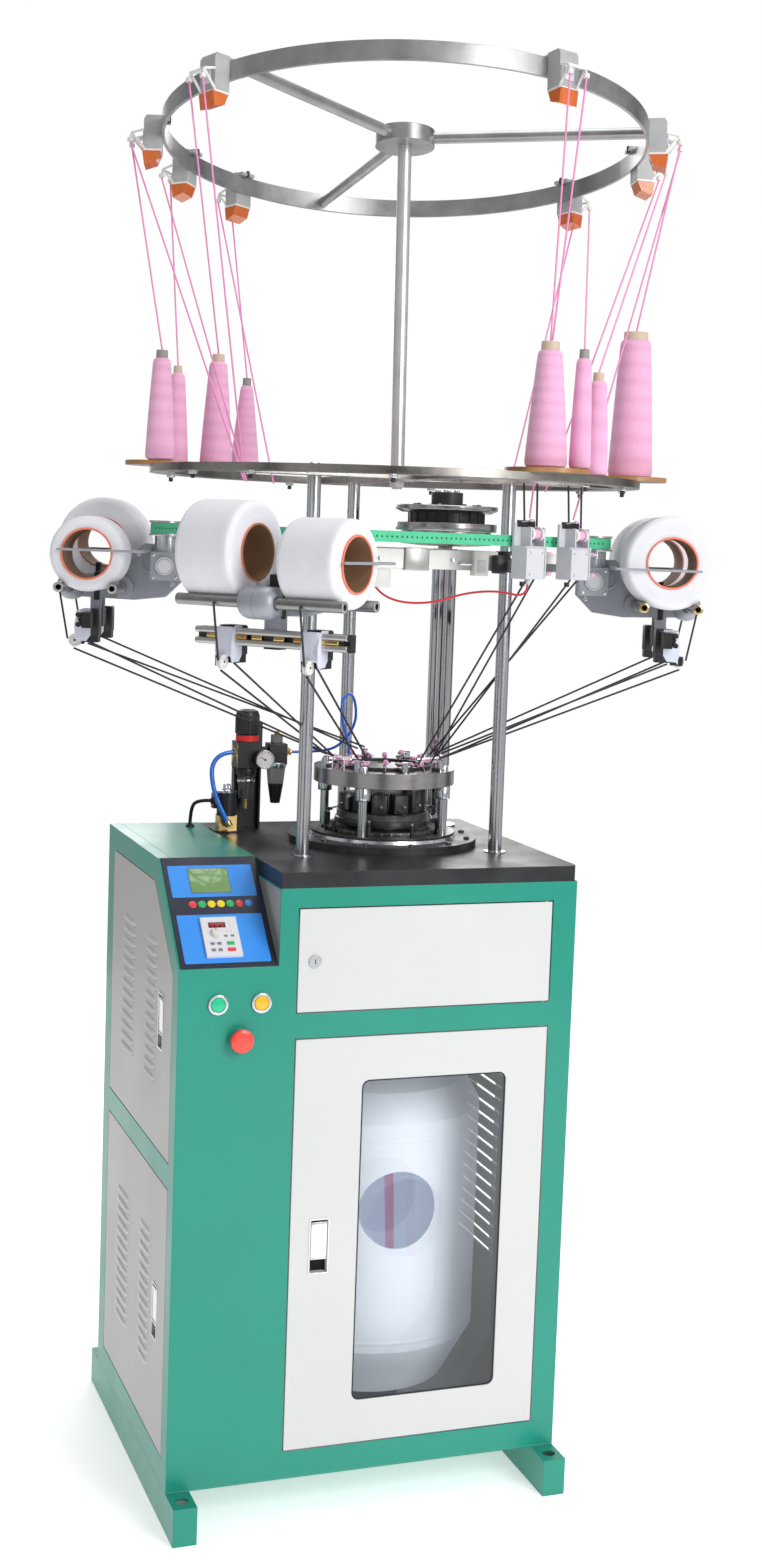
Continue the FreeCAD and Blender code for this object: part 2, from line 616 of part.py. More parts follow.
def feeder_wheel(at):
    axle = rod(2.5, Vector(-13.6, 0, FEED_AXIS_Z), Vector(16.5, 0, FEED_AXIS_Z))
    drum = rod(5.5, Vector(-11, 0, FEED_AXIS_Z), Vector(11, 0, FEED_AXIS_Z))
    flanges = [rod(10.5, Vector(x, 0, FEED_AXIS_Z), Vector(x + 3, 0, FEED_AXIS_Z)) for x in (-11, 8)]
    return placed(fuse([axle, drum] + flanges), at, Rotation(Z, BELT_HEADING))


def support_frame(housings):
    low = 1417.0
    high = 1447.0
    ends = [Vector(x, y, 0) for x, y in POSTS]
    left, right, rear = ends
    bars = [bar_between(left, right, 10, low, high), bar_between(left, rear, 10, low, high),
            bar_between(right, COLUMN, 10, low, high), bar_between(COLUMN, rear, 10, low, high)]
    for name, post in (("left", left), ("front", left), ("right", right)):
        bars.append(bar_between(post, arm_point(name, GEAR_U, GEAR_T), 12, low, high))
    bars.append(bar_between(left + Vector(-20, -24, 0), arm_point("left", GEAR_U - 18, 0), 8, low, high))
    clamps = [rod(17, post + Z * low, post + Z * high) for post in ends]
    clamps.append(rod(28, COLUMN + Z * low, COLUMN + Z * high))
    unit_ends = [right + Vector(0, -14, 0), Vector(300, -108, 0)]
    arms = [bar_between(at + Vector(-6, 5, 0), end, 12, 1419, 1431) for at, end in zip(FEED_UNITS, unit_ends)]
    units = [feed_unit(at) for at in FEED_UNITS]
    glands = [ferrule(WIRE_PATH[0], WIRE_PATH[1], 4, 6), ferrule(WIRE_PATH[-1], WIRE_PATH[-2], 4, 9)]
    frame = fuse(bars + clamps + arms + units + glands)
    holes = [rod(POST_R, post + Z * 1400, post + Z * 1460) for post in ends]
    holes.append(rod(COLUMN_R, COLUMN + Z * 1400, COLUMN + Z * 1460))
    for name in ARMS:
        at = arm_point(name, GEAR_U, GEAR_T)
        holes.append(rod(19, at + Z * 1400, at + Z * 1460))
    return cut(frame, holes + housings)


# ---- spool arms --------------------------------------------------------------------------------------
def arm_turn(name):
    return Rotation(Z, ARMS[name][1])


def arm_point(name, u, t):
    centre, heading, side, radii = ARMS[name]
    return centre + Rotation(Z, heading).multVec(Vector(u, t * side, 0))


def on_arm(name, shape):
    return placed(shape, ARMS[name][0], arm_turn(name))


def axle(radius, u, t0, t1, z):
    return rod(radius, Vector(u, t0, z), Vector(u, t1, z))


def spool_height(radius):
    return ROLLER_Z + math.sqrt((radius + ROLLER_R + SPOOL_GAP) ** 2 - ROLLER_U ** 2)


def arm_housing(name):
    side = ARMS[name][2]
    outline = face([Vector(u, -13, z) for u, z in
                    ((-135, 1383), (-108, 1356), (-60, 1350), (44, 1353), (57, 1364), (57, 1376), (44, 1387),
                     (6, 1390), (-40, 1412), (-75, 1440), (-135, 1440))])
    plate = outline.extrude(Vector(0, 26, 0))
    bosses = [axle(17, u, -22.5, 22.5, ROLLER_Z) for u in (-ROLLER_U, ROLLER_U)]
    t0, t1 = sorted((side * 13, side * 58))
    block = box(GEAR_U - 22.5, GEAR_U + 22.5, t0, t1, 1383, 1428)
    knob = axle(14, GEAR_U, side * 57, side * 61, 1406)
    neck = rod(19, Vector(GEAR_U, side * GEAR_T, 1427), Vector(GEAR_U, side * GEAR_T, 1453))
    hanger = box(-10, 10, -12, 12, 1306, 1352)
    bar = box(-8, 6, -124, 124, 1308, 1332)
    rails = [axle(4, 11, -124, 124, z) for z in (1313, 1328)]
    ties = [box(4, 12, t - 5, t + 5, 1312, 1329) for t in (-112, 0, 112)]
    cheeks = []
    for t in (-70, 70):
        cheeks.append(box(-14, 12, t - 13, t + 13, 1284, 1336))
        cheeks.append(box(10, 30, t - 8, t - 5.5, 1280, 1294))
        cheeks.append(axle(1.5, WHEEL_U, t - 7, t + 4, WHEEL_Z))
    rods = []
    for end in (-1, 1):
        corner = Vector(-86, end * 134, ROD_Z)
        rods.append(rod(2, Vector(-86, end * 10, ROD_Z), corner))
        rods.append(rod(2, corner, Vector(45, end * 134, ROD_Z)))
        rods.append(Part.makeSphere(2, corner))
    body = fuse([plate] + bosses + [block, knob, neck, hanger, bar] + rails + ties + cheeks + rods)
    bores = [axle(ROLLER_R + RUN_FIT, u, -30, 30, ROLLER_Z) for u in (-ROLLER_U, ROLLER_U)]
    bores.append(rod(5 + RUN_FIT, Vector(GEAR_U, side * GEAR_T, 1430), Vector(GEAR_U, side * GEAR_T, 1460)))
    return on_arm(name, cut(body, bores))


def roller(name, u):
    bar = axle(ROLLER_R, u, -ROLLER_L, ROLLER_L, ROLLER_Z)
    ends = [axle(4.2, u, -ROLLER_L - 1, -ROLLER_L + 12, ROLLER_Z), axle(4.2, u, ROLLER_L - 12, ROLLER_L + 1,
                                                                        ROLLER_Z)]
    return on_arm(name, cut(bar, ends))


def spool(name, end, radius):
    """One package of elastic yarn on its card tube; end is +1 or -1 along the roller direction."""
    z = spool_height(radius)
    near = end * SPOOL_IN
    far = end * (SPOOL_IN + SPOOL_W)
    yarn = axle(radius, 0, near, far, z)
    yarn = yarn.makeFillet(5.0, [edge for edge in yarn.Edges if edge.Closed])
    core = axle(SPOOL_TUBE, 0, near - end * SPOOL_LIP, far + end * SPOOL_LIP, z)
    bore = axle(SPOOL_BORE, 0, near - end * 6, far + end * 6, z)
    return on_arm(name, fuse([yarn, core]).cut(bore))


def guide_wheels(name):
    wheels = []
    for t in (-70, 70):
        disc = axle(WHEEL_R, WHEEL_U, t - 3.5, t + 2.5, WHEEL_Z)
        groove = axle(WHEEL_R + 1, WHEEL_U, t - 1.5, t + 0.5, WHEEL_Z).cut(
            axle(WHEEL_R - 2, WHEEL_U, t - 1.5, t + 0.5, WHEEL_Z))
        wheels.append(cut(disc, [groove, axle(1.5 + RUN_FIT, WHEEL_U, t - 5, t + 5, WHEEL_Z)]))
    return on_arm(name, Part.makeCompound(wheels))


def drive_pulley(name):
    at = arm_point(name, GEAR_U, GEAR_T)
    return lathe([(0, 1431), (5, 1431), (5, 1453.5), (28, 1453.5), (28, BELT_Z - 0.6),
                  (ARM_PULLEY_R, BELT_Z - 0.6), (ARM_PULLEY_R, BELT_Z + BELT_H + 0.6),
                  (28, BELT_Z + BELT_H + 0.6), (28, 1477), (0, 1477)], at)


# ---- creel: tray, cones, mast, top ring --------------------------------------------------------------
BOARD_R = 62.0
BOARD_T = 7.0
BOARDS = [(161.0, 365.0), (133.0, 360.0), (288.0, 360.0), (335.0, 366.0)]
# heading, distance from the head axis, base radius, top radius, height, on a board
CONES = [(168.0, 371.0, 23, 14, 158, 1), (139.5, 388.0, 20, 12, 150, 1), (133.0, 335.0, 27, 15, 172, 1),
         (115.0, 366.0, 25, 11, 150, 0), (286.5, 366.0, 31, 18, 168, 1), (294.0, 386.0, 16, 11, 160, 1),
         (304.0, 366.0, 19, 13, 140, 0), (339.0, 372.0, 35, 24, 215, 1)]
CONE_TIP = 12.0


def around(heading, distance, z):
    turn = math.radians(heading)
    return HEAD + Vector(distance * math.cos(turn), distance * math.sin(turn), z)


def cone_tray():
    ring = tube(TRAY_R, TRAY_R - TRAY_BAR, HEAD + Z * TRAY_Z, HEAD + Z * (TRAY_Z + TRAY_T))
    disc = rod(TRAY_R - 5, HEAD + Z * TRAY_Z, HEAD + Z * (TRAY_Z + TRAY_T))
    reach = TRAY_R + 10
    half = TRAY_BAR / 2
    top = TRAY_Z + TRAY_T
    chord_y = POSTS[0][1]
    bars = [box(HEAD.x - reach, HEAD.x + reach, chord_y - half, chord_y + half, TRAY_Z, top),
            box(HEAD.x - half, HEAD.x + half, HEAD.y - reach, HEAD.y + reach, TRAY_Z, top)]
    frame = fuse([ring] + [bar.common(disc) for bar in bars])
    holes = [rod(6, Vector(x, y, TRAY_Z - 1), Vector(x, y, top + 1)) for x, y in POSTS]
    holes.append(rod(8, Vector(MAST.x, MAST.y, TRAY_Z - 1), Vector(MAST.x, MAST.y, top + 1)))
    boards = []
    for heading, distance in BOARDS:
        at = around(heading, distance, top)
        boards.append(rod(BOARD_R, at, at + Z * BOARD_T))
    return Part.makeCompound([cut(frame, holes)] + boards)


def cone_base(cone):
    heading, distance, low_r, top_r, height, on_board = cone
    return around(heading, distance, TRAY_Z + TRAY_T + on_board * BOARD_T)


def yarn_cones():
    cones = []
    for cone in CONES:
        low_r, top_r, height = cone[2:5]
        at = cone_base(cone)
        tube_r = max(7.0, top_r - 5.0)
        body = Part.makeCone(low_r, top_r, height, at, Z)
        tip = rod(tube_r, at + Z * (height - 1), at + Z * (height + CONE_TIP))
        bore = rod(tube_r - 2, at + Z * (height - 20), at + Z * (height + CONE_TIP + 1))
        cones.append(fuse([body, tip]).cut(bore))
    return Part.makeCompound(cones)


def lean():
    return Rotation(Z, MAST_AXIS)


def on_mast(shape):
    return placed(shape, MAST, lean())


def top_ring():
    mast = rod(MAST_R, Z * 8, Z * (TOP_RING_H - 5))
    collar = rod(15, Z * 4.5, Z * 12)
    low = TOP_RING_H - TOP_RING_BAND / 2
    band = tube(TOP_RING_R, TOP_RING_R - 5, Z * low, Z * (low + TOP_RING_BAND))
    hub = rod(47.5, Z * (TOP_RING_H - 13), Z * (TOP_RING_H + 12))
    spokes = []
    for heading in SPOKES:
        turn = math.radians(heading)
        out = Vector(math.cos(turn), math.sin(turn), 0)
        spokes.append(rod(9, Z * TOP_RING_H + out * 40, Z * TOP_RING_H + out * (TOP_RING_R - 4)))
    washer = rod(21, MAST, MAST + Z * 7)
    stud = rod(8, MAST - Z * (TRAY_T + 12), MAST + Z * 3)
    nut = face([Vector(MAST.x + 13 * math.cos(a * math.pi / 3), MAST.y + 13 * math.sin(a * math.pi / 3),
                       TRAY_Z) for a in range(6)]).extrude(Z * -8)
    return fuse([on_mast(fuse([mast, collar, band, hub] + spokes)), washer, stud, nut])


def guide_frame(heading):
    turn = math.radians(heading)
    origin = Vector(TOP_RING_R * math.cos(turn), TOP_RING_R * math.sin(turn), TOP_RING_H)
    return origin, Rotation(Z, heading)


def yarn_guides():
    low = TOP_RING_H - TOP_RING_BAND / 2
    band = on_mast(tube(TOP_RING_R, TOP_RING_R - 5, Z * low, Z * (low + TOP_RING_BAND)))
    guides = []
    for heading in GUIDES:
        case = box(-0.5, 30, -17, 17, -34, 20)
        snout = face([Vector(1, -16, -34), Vector(30, -16, -34), Vector(26, -16, -58), Vector(7, -16, -52)])
        snout = snout.extrude(Vector(0, 32, 0))
        hook = box(-12, 1, -14, 14, 14, 20)
        lip = box(-12, -8, -14, 14, 10, 20)
        wires = [rod(2, Vector(28, s * 8, -8), Vector(46, s * 14, -20)) for s in (-1, 1)]
        origin, turn = guide_frame(heading)
        guides.append(on_mast(placed(fuse([case, snout, hook, lip] + wires), origin, turn)).cut(band))
    return Part.makeCompound(guides)


def eyelet(heading, s):
    origin, turn = guide_frame(heading)
    at = origin + turn.multVec(Vector(49, s * 15, -23))
    return MAST + lean().multVec(at)


def yarn_ends():
    """The taut threads: cone to guide, guide to the tray, spool to guide wheel and on to the head."""
    thread = 0.8
    ends = []
    for heading, cone in zip(CREEL_ORDER, CONES):
        tip = cone_base(cone) + Z * (cone[4] + CONE_TIP + 2)
        ends.append(rod(thread, tip, eyelet(heading, -1)))
        ends.append(rod(thread, Vector(*FEED_PORTS[heading]), eyelet(heading, 1)))
    for name, targets in HEAD_PORTS.items():
        centre, heading, side, radii = ARMS[name]
        for t, port in zip((-70, 70), targets):
            place = Placement(centre, Rotation(Z, heading))
            drop = place.multVec(Vector(ROLLER_U + ROLLER_R + 1.5, t + 1, ROLLER_Z - 2))
            wheel_in = place.multVec(Vector(WHEEL_U + WHEEL_R + 1.6, t + 1, WHEEL_Z + 2))
            wheel_out = place.multVec(Vector(WHEEL_U + 2, t - 0.5, WHEEL_Z - WHEEL_R - 2.5))
            ends.append(rod(1.4, drop, wheel_in))
            ends.append(rod(1.4, wheel_out, around(port, CARRIER_R, RING_TOP + 20)))
    return Part.makeCompound(ends)


CREEL_ORDER = (162.0, 137.0, 206.0, 116.0, 284.0, 24.0, 353.0, 333.0)
FEED_PORTS = {162.0: (-150, 60, 1545), 137.0: (-120, 150, 1545), 206.0: (-160, 20, 1545),
              116.0: (-60, 200, 1545), 284.0: (215, -225, 1500), 24.0: (300, 60, 1545),
              353.0: (330, -20, 1545), 333.0: (302, -192, 1500)}
HEAD_PORTS = {"left": (90, 180), "front": (180, 225), "right": (315, 0)}

# ---- air unit ----------------------------------------------------------------------------------------
AIR = Vector(-101.0, 170.0, 0)       # regulator with its filter bowl
OILER = Vector(-50.0, 170.0, 0)
VALVE = Vector(-136.0, 158.0, 0)
PORT_Z = 1103.5
HOSE_IN_R = 3.8
HOSE_OUT_R = 2.3
CABLE_R = 3.0
WIRE_R = 1.7
HOSE_IN = [Vector(-122, 168, PORT_Z), Vector(-142, 168, PORT_Z), Vector(-162, 164, 1084),
           Vector(-162, 152, 1051), Vector(-154, 141, 1020), Vector(-140.5, 134.5, 994)]
HOSE_OUT = [Vector(-26, 170, PORT_Z), Vector(6, 170, PORT_Z), Vector(42, 153, 1109), Vector(63, 141, 1130),
            Vector(73, 131, 1156), Vector(71, 123, 1181), Vector(62, 116, 1205), Vector(42, 103, 1205),
            Vector(35, 95, 1177), Vector(38, 83, 1150), Vector(43, 71, 1129), Vector(43, 71, 1111)]
CABLE_PATH = [Vector(-160.5, 167, 1024), Vector(-182, 176, 1024), Vector(-186, 198, 1006),
              Vector(-186, 200, CONSOLE_Z + 6)]
WIRE_PATH = [Vector(2, -105, 1415), Vector(10, -110, 1388), Vector(40, -128, 1366), Vector(90, -154, 1366),
             Vector(134, -178, 1384), Vector(174, -212, 1390), Vector(209, -241, 1381), Vector(209, -241, 1401)]


def air_unit():
    web = box(-119, -73, 190, 194, TABLE_Z, 1112)
    sides = [box(x, x + 3, 178, 192, TABLE_Z, 1076) for x in (-119, -76)]
    foot = box(-119, -73, 190, 226, TABLE_Z, TABLE_Z + 4)
    strap = box(-86, -70, 186, 190, 1100, 1150)
    body = box(AIR.x - 20, AIR.x + 20, 152, 190, 1079, 1121)
    bonnet = rod(18, AIR + Z * 1120, AIR + Z * 1133)
    cap = rod(16, AIR + Z * 1070, AIR + Z * 1080)
    bowl = Part.makeCone(12, 14.5, 44, AIR + Z * 1027, Z)
    drain = rod(4, AIR + Z * 1010, AIR + Z * 1028)
    dial = Vector(-80, 0, 1095)
    gauge = rod(14.5, dial + Vector(0, 132, 0), dial + Vector(0, 146, 0))
    neck = rod(5, dial + Vector(0, 144, 0), dial + Vector(0, 160, 0))
    link = box(AIR.x + 18, OILER.x - 14, 164, 178, 1094, 1112)
    oiler = box(OILER.x - 15, OILER.x + 15, 156, 186, 1084, 1118)
    dome = rod(10, OILER + Z * 1116, OILER + Z * 1132)
    screw = rod(4, OILER + Z * 1130, OILER + Z * 1138)
    glass = Part.makeCone(13, 16.5, 34, OILER + Z * 1051, Z)
    tail = Part.makeCone(8, 13, 32, OILER + Z * 1019, Z)
    unit = fuse([web, foot, strap, body, bonnet, cap, bowl, drain, gauge, neck, link, oiler, dome, screw, glass,
                 tail] + sides)
    plug = rod(6, OILER + Vector(14, 0, PORT_Z), HOSE_OUT[0])
    unit = fuse([unit, plug, rod(6, HOSE_IN[0], HOSE_IN[0] + Vector(4, 0, 0))])
    unit = unit.cut(rod(4 + RUN_FIT, AIR + Z * 1121, AIR + Z * 1140))
    plate = rod(30, VALVE + Z * TABLE_Z, VALVE + Z * (TABLE_Z + 3))
    plate = plate.common(box(CONSOLE_X + 0.5, -100, 100, 189, TABLE_Z, TABLE_Z + 3))
    base = box(VALVE.x - 15, VALVE.x + 15, VALVE.y - 12, VALVE.y + 12, TABLE_Z + 2, 1002)
    coil = rod(16, VALVE + Z * 1001, VALVE + Z * 1042)
    nut = rod(6, VALVE + Z * 1040, VALVE + Z * 1052)
    plug_box = box(-158, -150, 158, 174, 1012, 1036)
    elbow = [ferrule(HOSE_IN[-1], HOSE_IN[-2], 5.5, 9), rod(5, Vector(-137, 131, 987), Vector(-137, 147, 987))]
    relief = ferrule(CABLE_PATH[0], CABLE_PATH[1], 5, 5)
    valve = fuse([plate, base, coil, nut, plug_box, relief] + elbow)
    gland = rod(7, CABLE_PATH[-1] - Z * 9, CABLE_PATH[-1] - Z * 2)
    gland = fuse([gland, ferrule(CABLE_PATH[-1], CABLE_PATH[-2], 4.5, 4)])
    gland = gland.common(box(-200, -170, 180, 220, CONSOLE_Z, CONSOLE_Z + 20))
    return Part.makeCompound([unit, valve, gland])


def air_knob():
    shaft = rod(4, AIR + Z * 1122, AIR + Z * 1136)
    knob = rod(20, AIR + Z * 1133.5, AIR + Z * 1174)
    knob = knob.makeFillet(5.0, [edge for edge in knob.Edges if edge.Closed and edge.BoundBox.ZMin > 1160])
    return fuse([shaft, knob])


# ---- table -------------------------------------------------------------------------------------------
def table_slab():
    slab = box(CONSOLE_X, HALF_W, -HALF_D, HALF_D, TOP_Z, TABLE_Z)
    corners = [edge for edge in slab.Edges
               if edge.BoundBox.ZLength > 5 and edge.BoundBox.XMin > 0]
    slab = slab.makeFillet(12.0, corners)
    holes = [rod(62, HEAD + Z * (TOP_Z - 1), HEAD + Z * (TABLE_Z + 1)),
             rod(SHAFT_R + 1.5, COLUMN + Z * (TOP_Z - 1), COLUMN + Z * (TABLE_Z + 1))]
    return cut(slab, holes)


def main():
    os.makedirs("parts", exist_ok=True)
    save("cabinet_shell", cabinet_shell())
    save("table_slab", table_slab())
    save("control_panel", control_panel())
    save("keypad_knob", keypad_knob())
    for name in BUTTONS:
        save(name, push_button(name))
    for name in DOORS:
        save(name, door(name))
    save("window_pane", window_shape(9.0, -HALF_D + SHEET, 4.0))
    for name, (owner, origin, turn) in LATCHES.items():
        save(name, placed(latch_paddle(), origin, turn))
    save("front_lock", front_lock())
    save("main_motor", Part.makeCompound([main_motor(), barrel_stand()]))
    save("motor_pulley", motor_pulley())
    save("fabric_barrel", fabric_barrel())
    save("fabric_tube", hose("fabric_tube", FABRIC_PATH, 7.5))
    save("head_base", head_base())
    save("stitch_ring", stitch_ring())
    save("needle_cylinder", needle_cylinder())
    save("support_posts", support_posts())
    save("feed_wheel", feed_wheel())
    save("belts", Part.makeCompound([drive_belt(), feed_belt()]))
    housings = [arm_housing(name) for name in ARMS]
    save("support_frame", support_frame(housings))
    for index, at in enumerate(FEED_UNITS):
        save("feeder_wheel_" + str(index + 1), feeder_wheel(at))
    for name, housing in zip(ARMS, housings):
        save(name + "_arm", housing)
        save(name + "_roller_inner", roller(name, -ROLLER_U))
        save(name + "_roller_outer", roller(name, ROLLER_U))
        save(name + "_guide_wheels", guide_wheels(name))
        save(name + "_pulley", drive_pulley(name))
        side = ARMS[name][2]
        near_r, far_r = ARMS[name][3]
        if near_r == far_r:
            save(name + "_spools", Part.makeCompound([spool(name, end, near_r) for end in (-1, 1)]))
        else:
            save(name + "_spool_near", spool(name, side, near_r))
            save(name + "_spool_far", spool(name, -side, far_r))
    save("cone_tray", cone_tray())
    save("yarn_cones", yarn_cones())
    save("top_ring", top_ring())
    save("yarn_guides", yarn_guides())
    save("yarn_ends", yarn_ends())
    save("air_unit", air_unit())
    save("air_knob", air_knob())
    save("air_hose_in", hose("air_hose_in", HOSE_IN, HOSE_IN_R))
    save("air_hose_out", hose("air_hose_out", HOSE_OUT, HOSE_OUT_R))
    save("valve_cable", hose("valve_cable", CABLE_PATH, CABLE_R))
    save("feeder_cable", hose("feeder_cable", WIRE_PATH, WIRE_R))


main()
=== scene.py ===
import math
import random

import bmesh
import bpy
from mathutils import Matrix, Vector


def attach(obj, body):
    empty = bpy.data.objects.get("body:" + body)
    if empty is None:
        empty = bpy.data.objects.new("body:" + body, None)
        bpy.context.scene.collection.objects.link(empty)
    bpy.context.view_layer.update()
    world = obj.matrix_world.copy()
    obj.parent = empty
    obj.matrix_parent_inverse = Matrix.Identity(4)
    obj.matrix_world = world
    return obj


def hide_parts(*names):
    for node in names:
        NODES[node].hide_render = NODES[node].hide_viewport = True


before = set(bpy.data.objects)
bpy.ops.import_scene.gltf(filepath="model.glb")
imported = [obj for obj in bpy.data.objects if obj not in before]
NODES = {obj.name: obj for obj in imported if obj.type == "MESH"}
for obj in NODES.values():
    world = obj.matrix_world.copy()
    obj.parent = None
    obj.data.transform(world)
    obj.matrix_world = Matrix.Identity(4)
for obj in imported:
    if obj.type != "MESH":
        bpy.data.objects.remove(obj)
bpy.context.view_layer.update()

# ---- dimensions repeated from the CAD, in metres -----------------------------------------------------
HALF_W = 0.31
HALF_D = 0.2475
HEAD = Vector((0.088, 0.025, 0.0))
COLUMN = Vector((0.228, 0.15, 0.0))
RING_TOP = 1.097
POSTS = [(-0.086, -0.105), (0.2315, -0.105), (0.0876, 0.222)]
TRAY_TOP = 1.5634
PANEL_LOW = Vector((0.0, -0.2475, 0.838))
PANEL_TURN = math.atan2(0.976 - 0.838, -0.1015 + 0.2475)
ARMS = {
    "left": (Vector((-0.3508, 0.1847, 0)), 160.0, 1, (0.058, 0.072)),
    "front": (Vector((-0.2158, -0.363, 0)), 220.0, 1, (0.061, 0.0705)),
    "right": (Vector((0.4925, -0.1222, 0)), -20.0, -1, (0.072, 0.072)),
}
ROLLER_Z = 1.37
ROLLER_U = 0.041
WHEEL_U = 0.024
WHEEL_Z = 1.286
MAST = Vector((0.092, 0.0235, TRAY_TOP))
MAST_AXIS = Vector((0.0309, 0.123, 1.0)).normalized()
TOP_RING_R = 0.386
TOP_RING_H = 0.5372
GUIDES = (206.0, 162.0, 137.0, 116.0, 284.0, 333.0, 353.0, 24.0)
CREEL_ORDER = (162.0, 137.0, 206.0, 116.0, 284.0, 24.0, 353.0, 333.0)
CONES = [  # heading, distance, lower radius, upper radius, height, stands on a board
    (168.0, 0.371, 0.023, 0.014, 0.158, 1), (139.5, 0.388, 0.020, 0.012, 0.150, 1),
    (133.0, 0.335, 0.027, 0.015, 0.172, 1), (115.0, 0.366, 0.025, 0.011, 0.150, 0),
    (286.5, 0.366, 0.031, 0.018, 0.168, 1), (294.0, 0.386, 0.016, 0.011, 0.160, 1),
    (304.0, 0.366, 0.019, 0.013, 0.140, 0), (339.0, 0.372, 0.035, 0.024, 0.215, 1)]
BOARD_T = 0.007
CONE_TIP = 0.012
FEED_PORTS = {162.0: (-.15, .06, 1.545), 137.0: (-.12, .15, 1.545), 206.0: (-.16, .02, 1.545),
              116.0: (-.06, .2, 1.545), 284.0: (.215, -.225, 1.5), 24.0: (.3, .06, 1.545),
              353.0: (.33, -.02, 1.545), 333.0: (.302, -.192, 1.5)}
HEAD_PORTS = {"left": (90, 180), "front": (180, 225), "right": (315, 0)}
FEED_UNITS = [Vector((0.219, -0.236, 0)), Vector((0.3065, -0.204, 0))]
FEED_AXIS_Z = 1.476
BELT_HEADING = 22.6
AIR = Vector((-0.101, 0.17, 0))
OILER = Vector((-0.05, 0.17, 0))
VALVE = Vector((-0.136, 0.158, 0))
PORT_Z = 1.1035
HOSE_IN = [(-.122, .168, PORT_Z), (-.142, .168, PORT_Z), (-.162, .164, 1.084), (-.162, .152, 1.051),
           (-.154, .141, 1.02), (-.1405, .1345, .994)]
HOSE_OUT = [(-.026, .17, PORT_Z), (.006, .17, PORT_Z), (.042, .153, 1.109), (.063, .141, 1.13),
            (.073, .131, 1.156), (.071, .123, 1.181), (.062, .116, 1.205), (.042, .103, 1.205),
            (.035, .095, 1.177), (.038, .083, 1.15), (.043, .071, 1.129), (.043, .071, 1.111)]
CABLE_PATH = [(-.1605, .167, 1.024), (-.182, .176, 1.024), (-.186, .198, 1.006), (-.186, .2, .982)]
WIRE_PATH = [(.002, -.105, 1.415), (.01, -.11, 1.388), (.04, -.128, 1.366), (.09, -.154, 1.366),
             (.134, -.178, 1.384), (.174, -.212, 1.39), (.209, -.241, 1.381), (.209, -.241, 1.401)]
FABRIC_PATH = [(.088, .025, 1.088), (.0885, .025, .96), (.092, .024, .83), (.099, .022, .7),
               (.108, .02, .57), (.118, .017, .43), (.127, .018, .29), (.131, .021, .15)]
WINDOW = (-0.0265, 0.205, 0.167, 0.661)
BUTTONS = {"start_button": (-0.251, 0.7855), "jog_button": (-0.186, 0.7855), "estop_button": (-0.217, 0.7335)}
CARRIERS = (0, 22, 48, 68, 90, 112, 135, 158, 180, 202, 225, 250, 270, 292, 315, 338)
KEYPAD_TOP = 0.0069
BELT_Z = 1.465
BELT_OUT = 0.0019
FEED_WHEEL_R = 0.076
ARM_PULLEY_R = 0.024
ARM_PULLEY = (-0.112, 0.0355)
SPOOL_T = 0.08
SPOOL_HALF = 0.046
SPOOL_BORE = 0.0393
WHEEL_T = 0.07
BOLT_CIRCLE = 0.368
ROLLER_R = 0.0083
# heights and distances at which a CAD node's material changes
FLANGE_RIM_Z = 0.9885
RING_FOOT_Z = 1.0725
GEAR_TOP_Z = 0.93
COLUMN_REACH = 0.04
CAGE_Z = (1.4895, 1.508)
CAGE_R = 0.07
NUT_Z = 1.5195
HUB_Z = 1.44
TABLE_CLEAR_Z = 1.0
ARM_PIN_Z = 1.4415
RAIL_Z = 1.3375
KEYPAD_LOW_Z = 0.83
BRACKET_Z = 0.9795
INSIDE_Z = (0.0585, 0.9505)
CONSOLE_WALL_X = -0.161


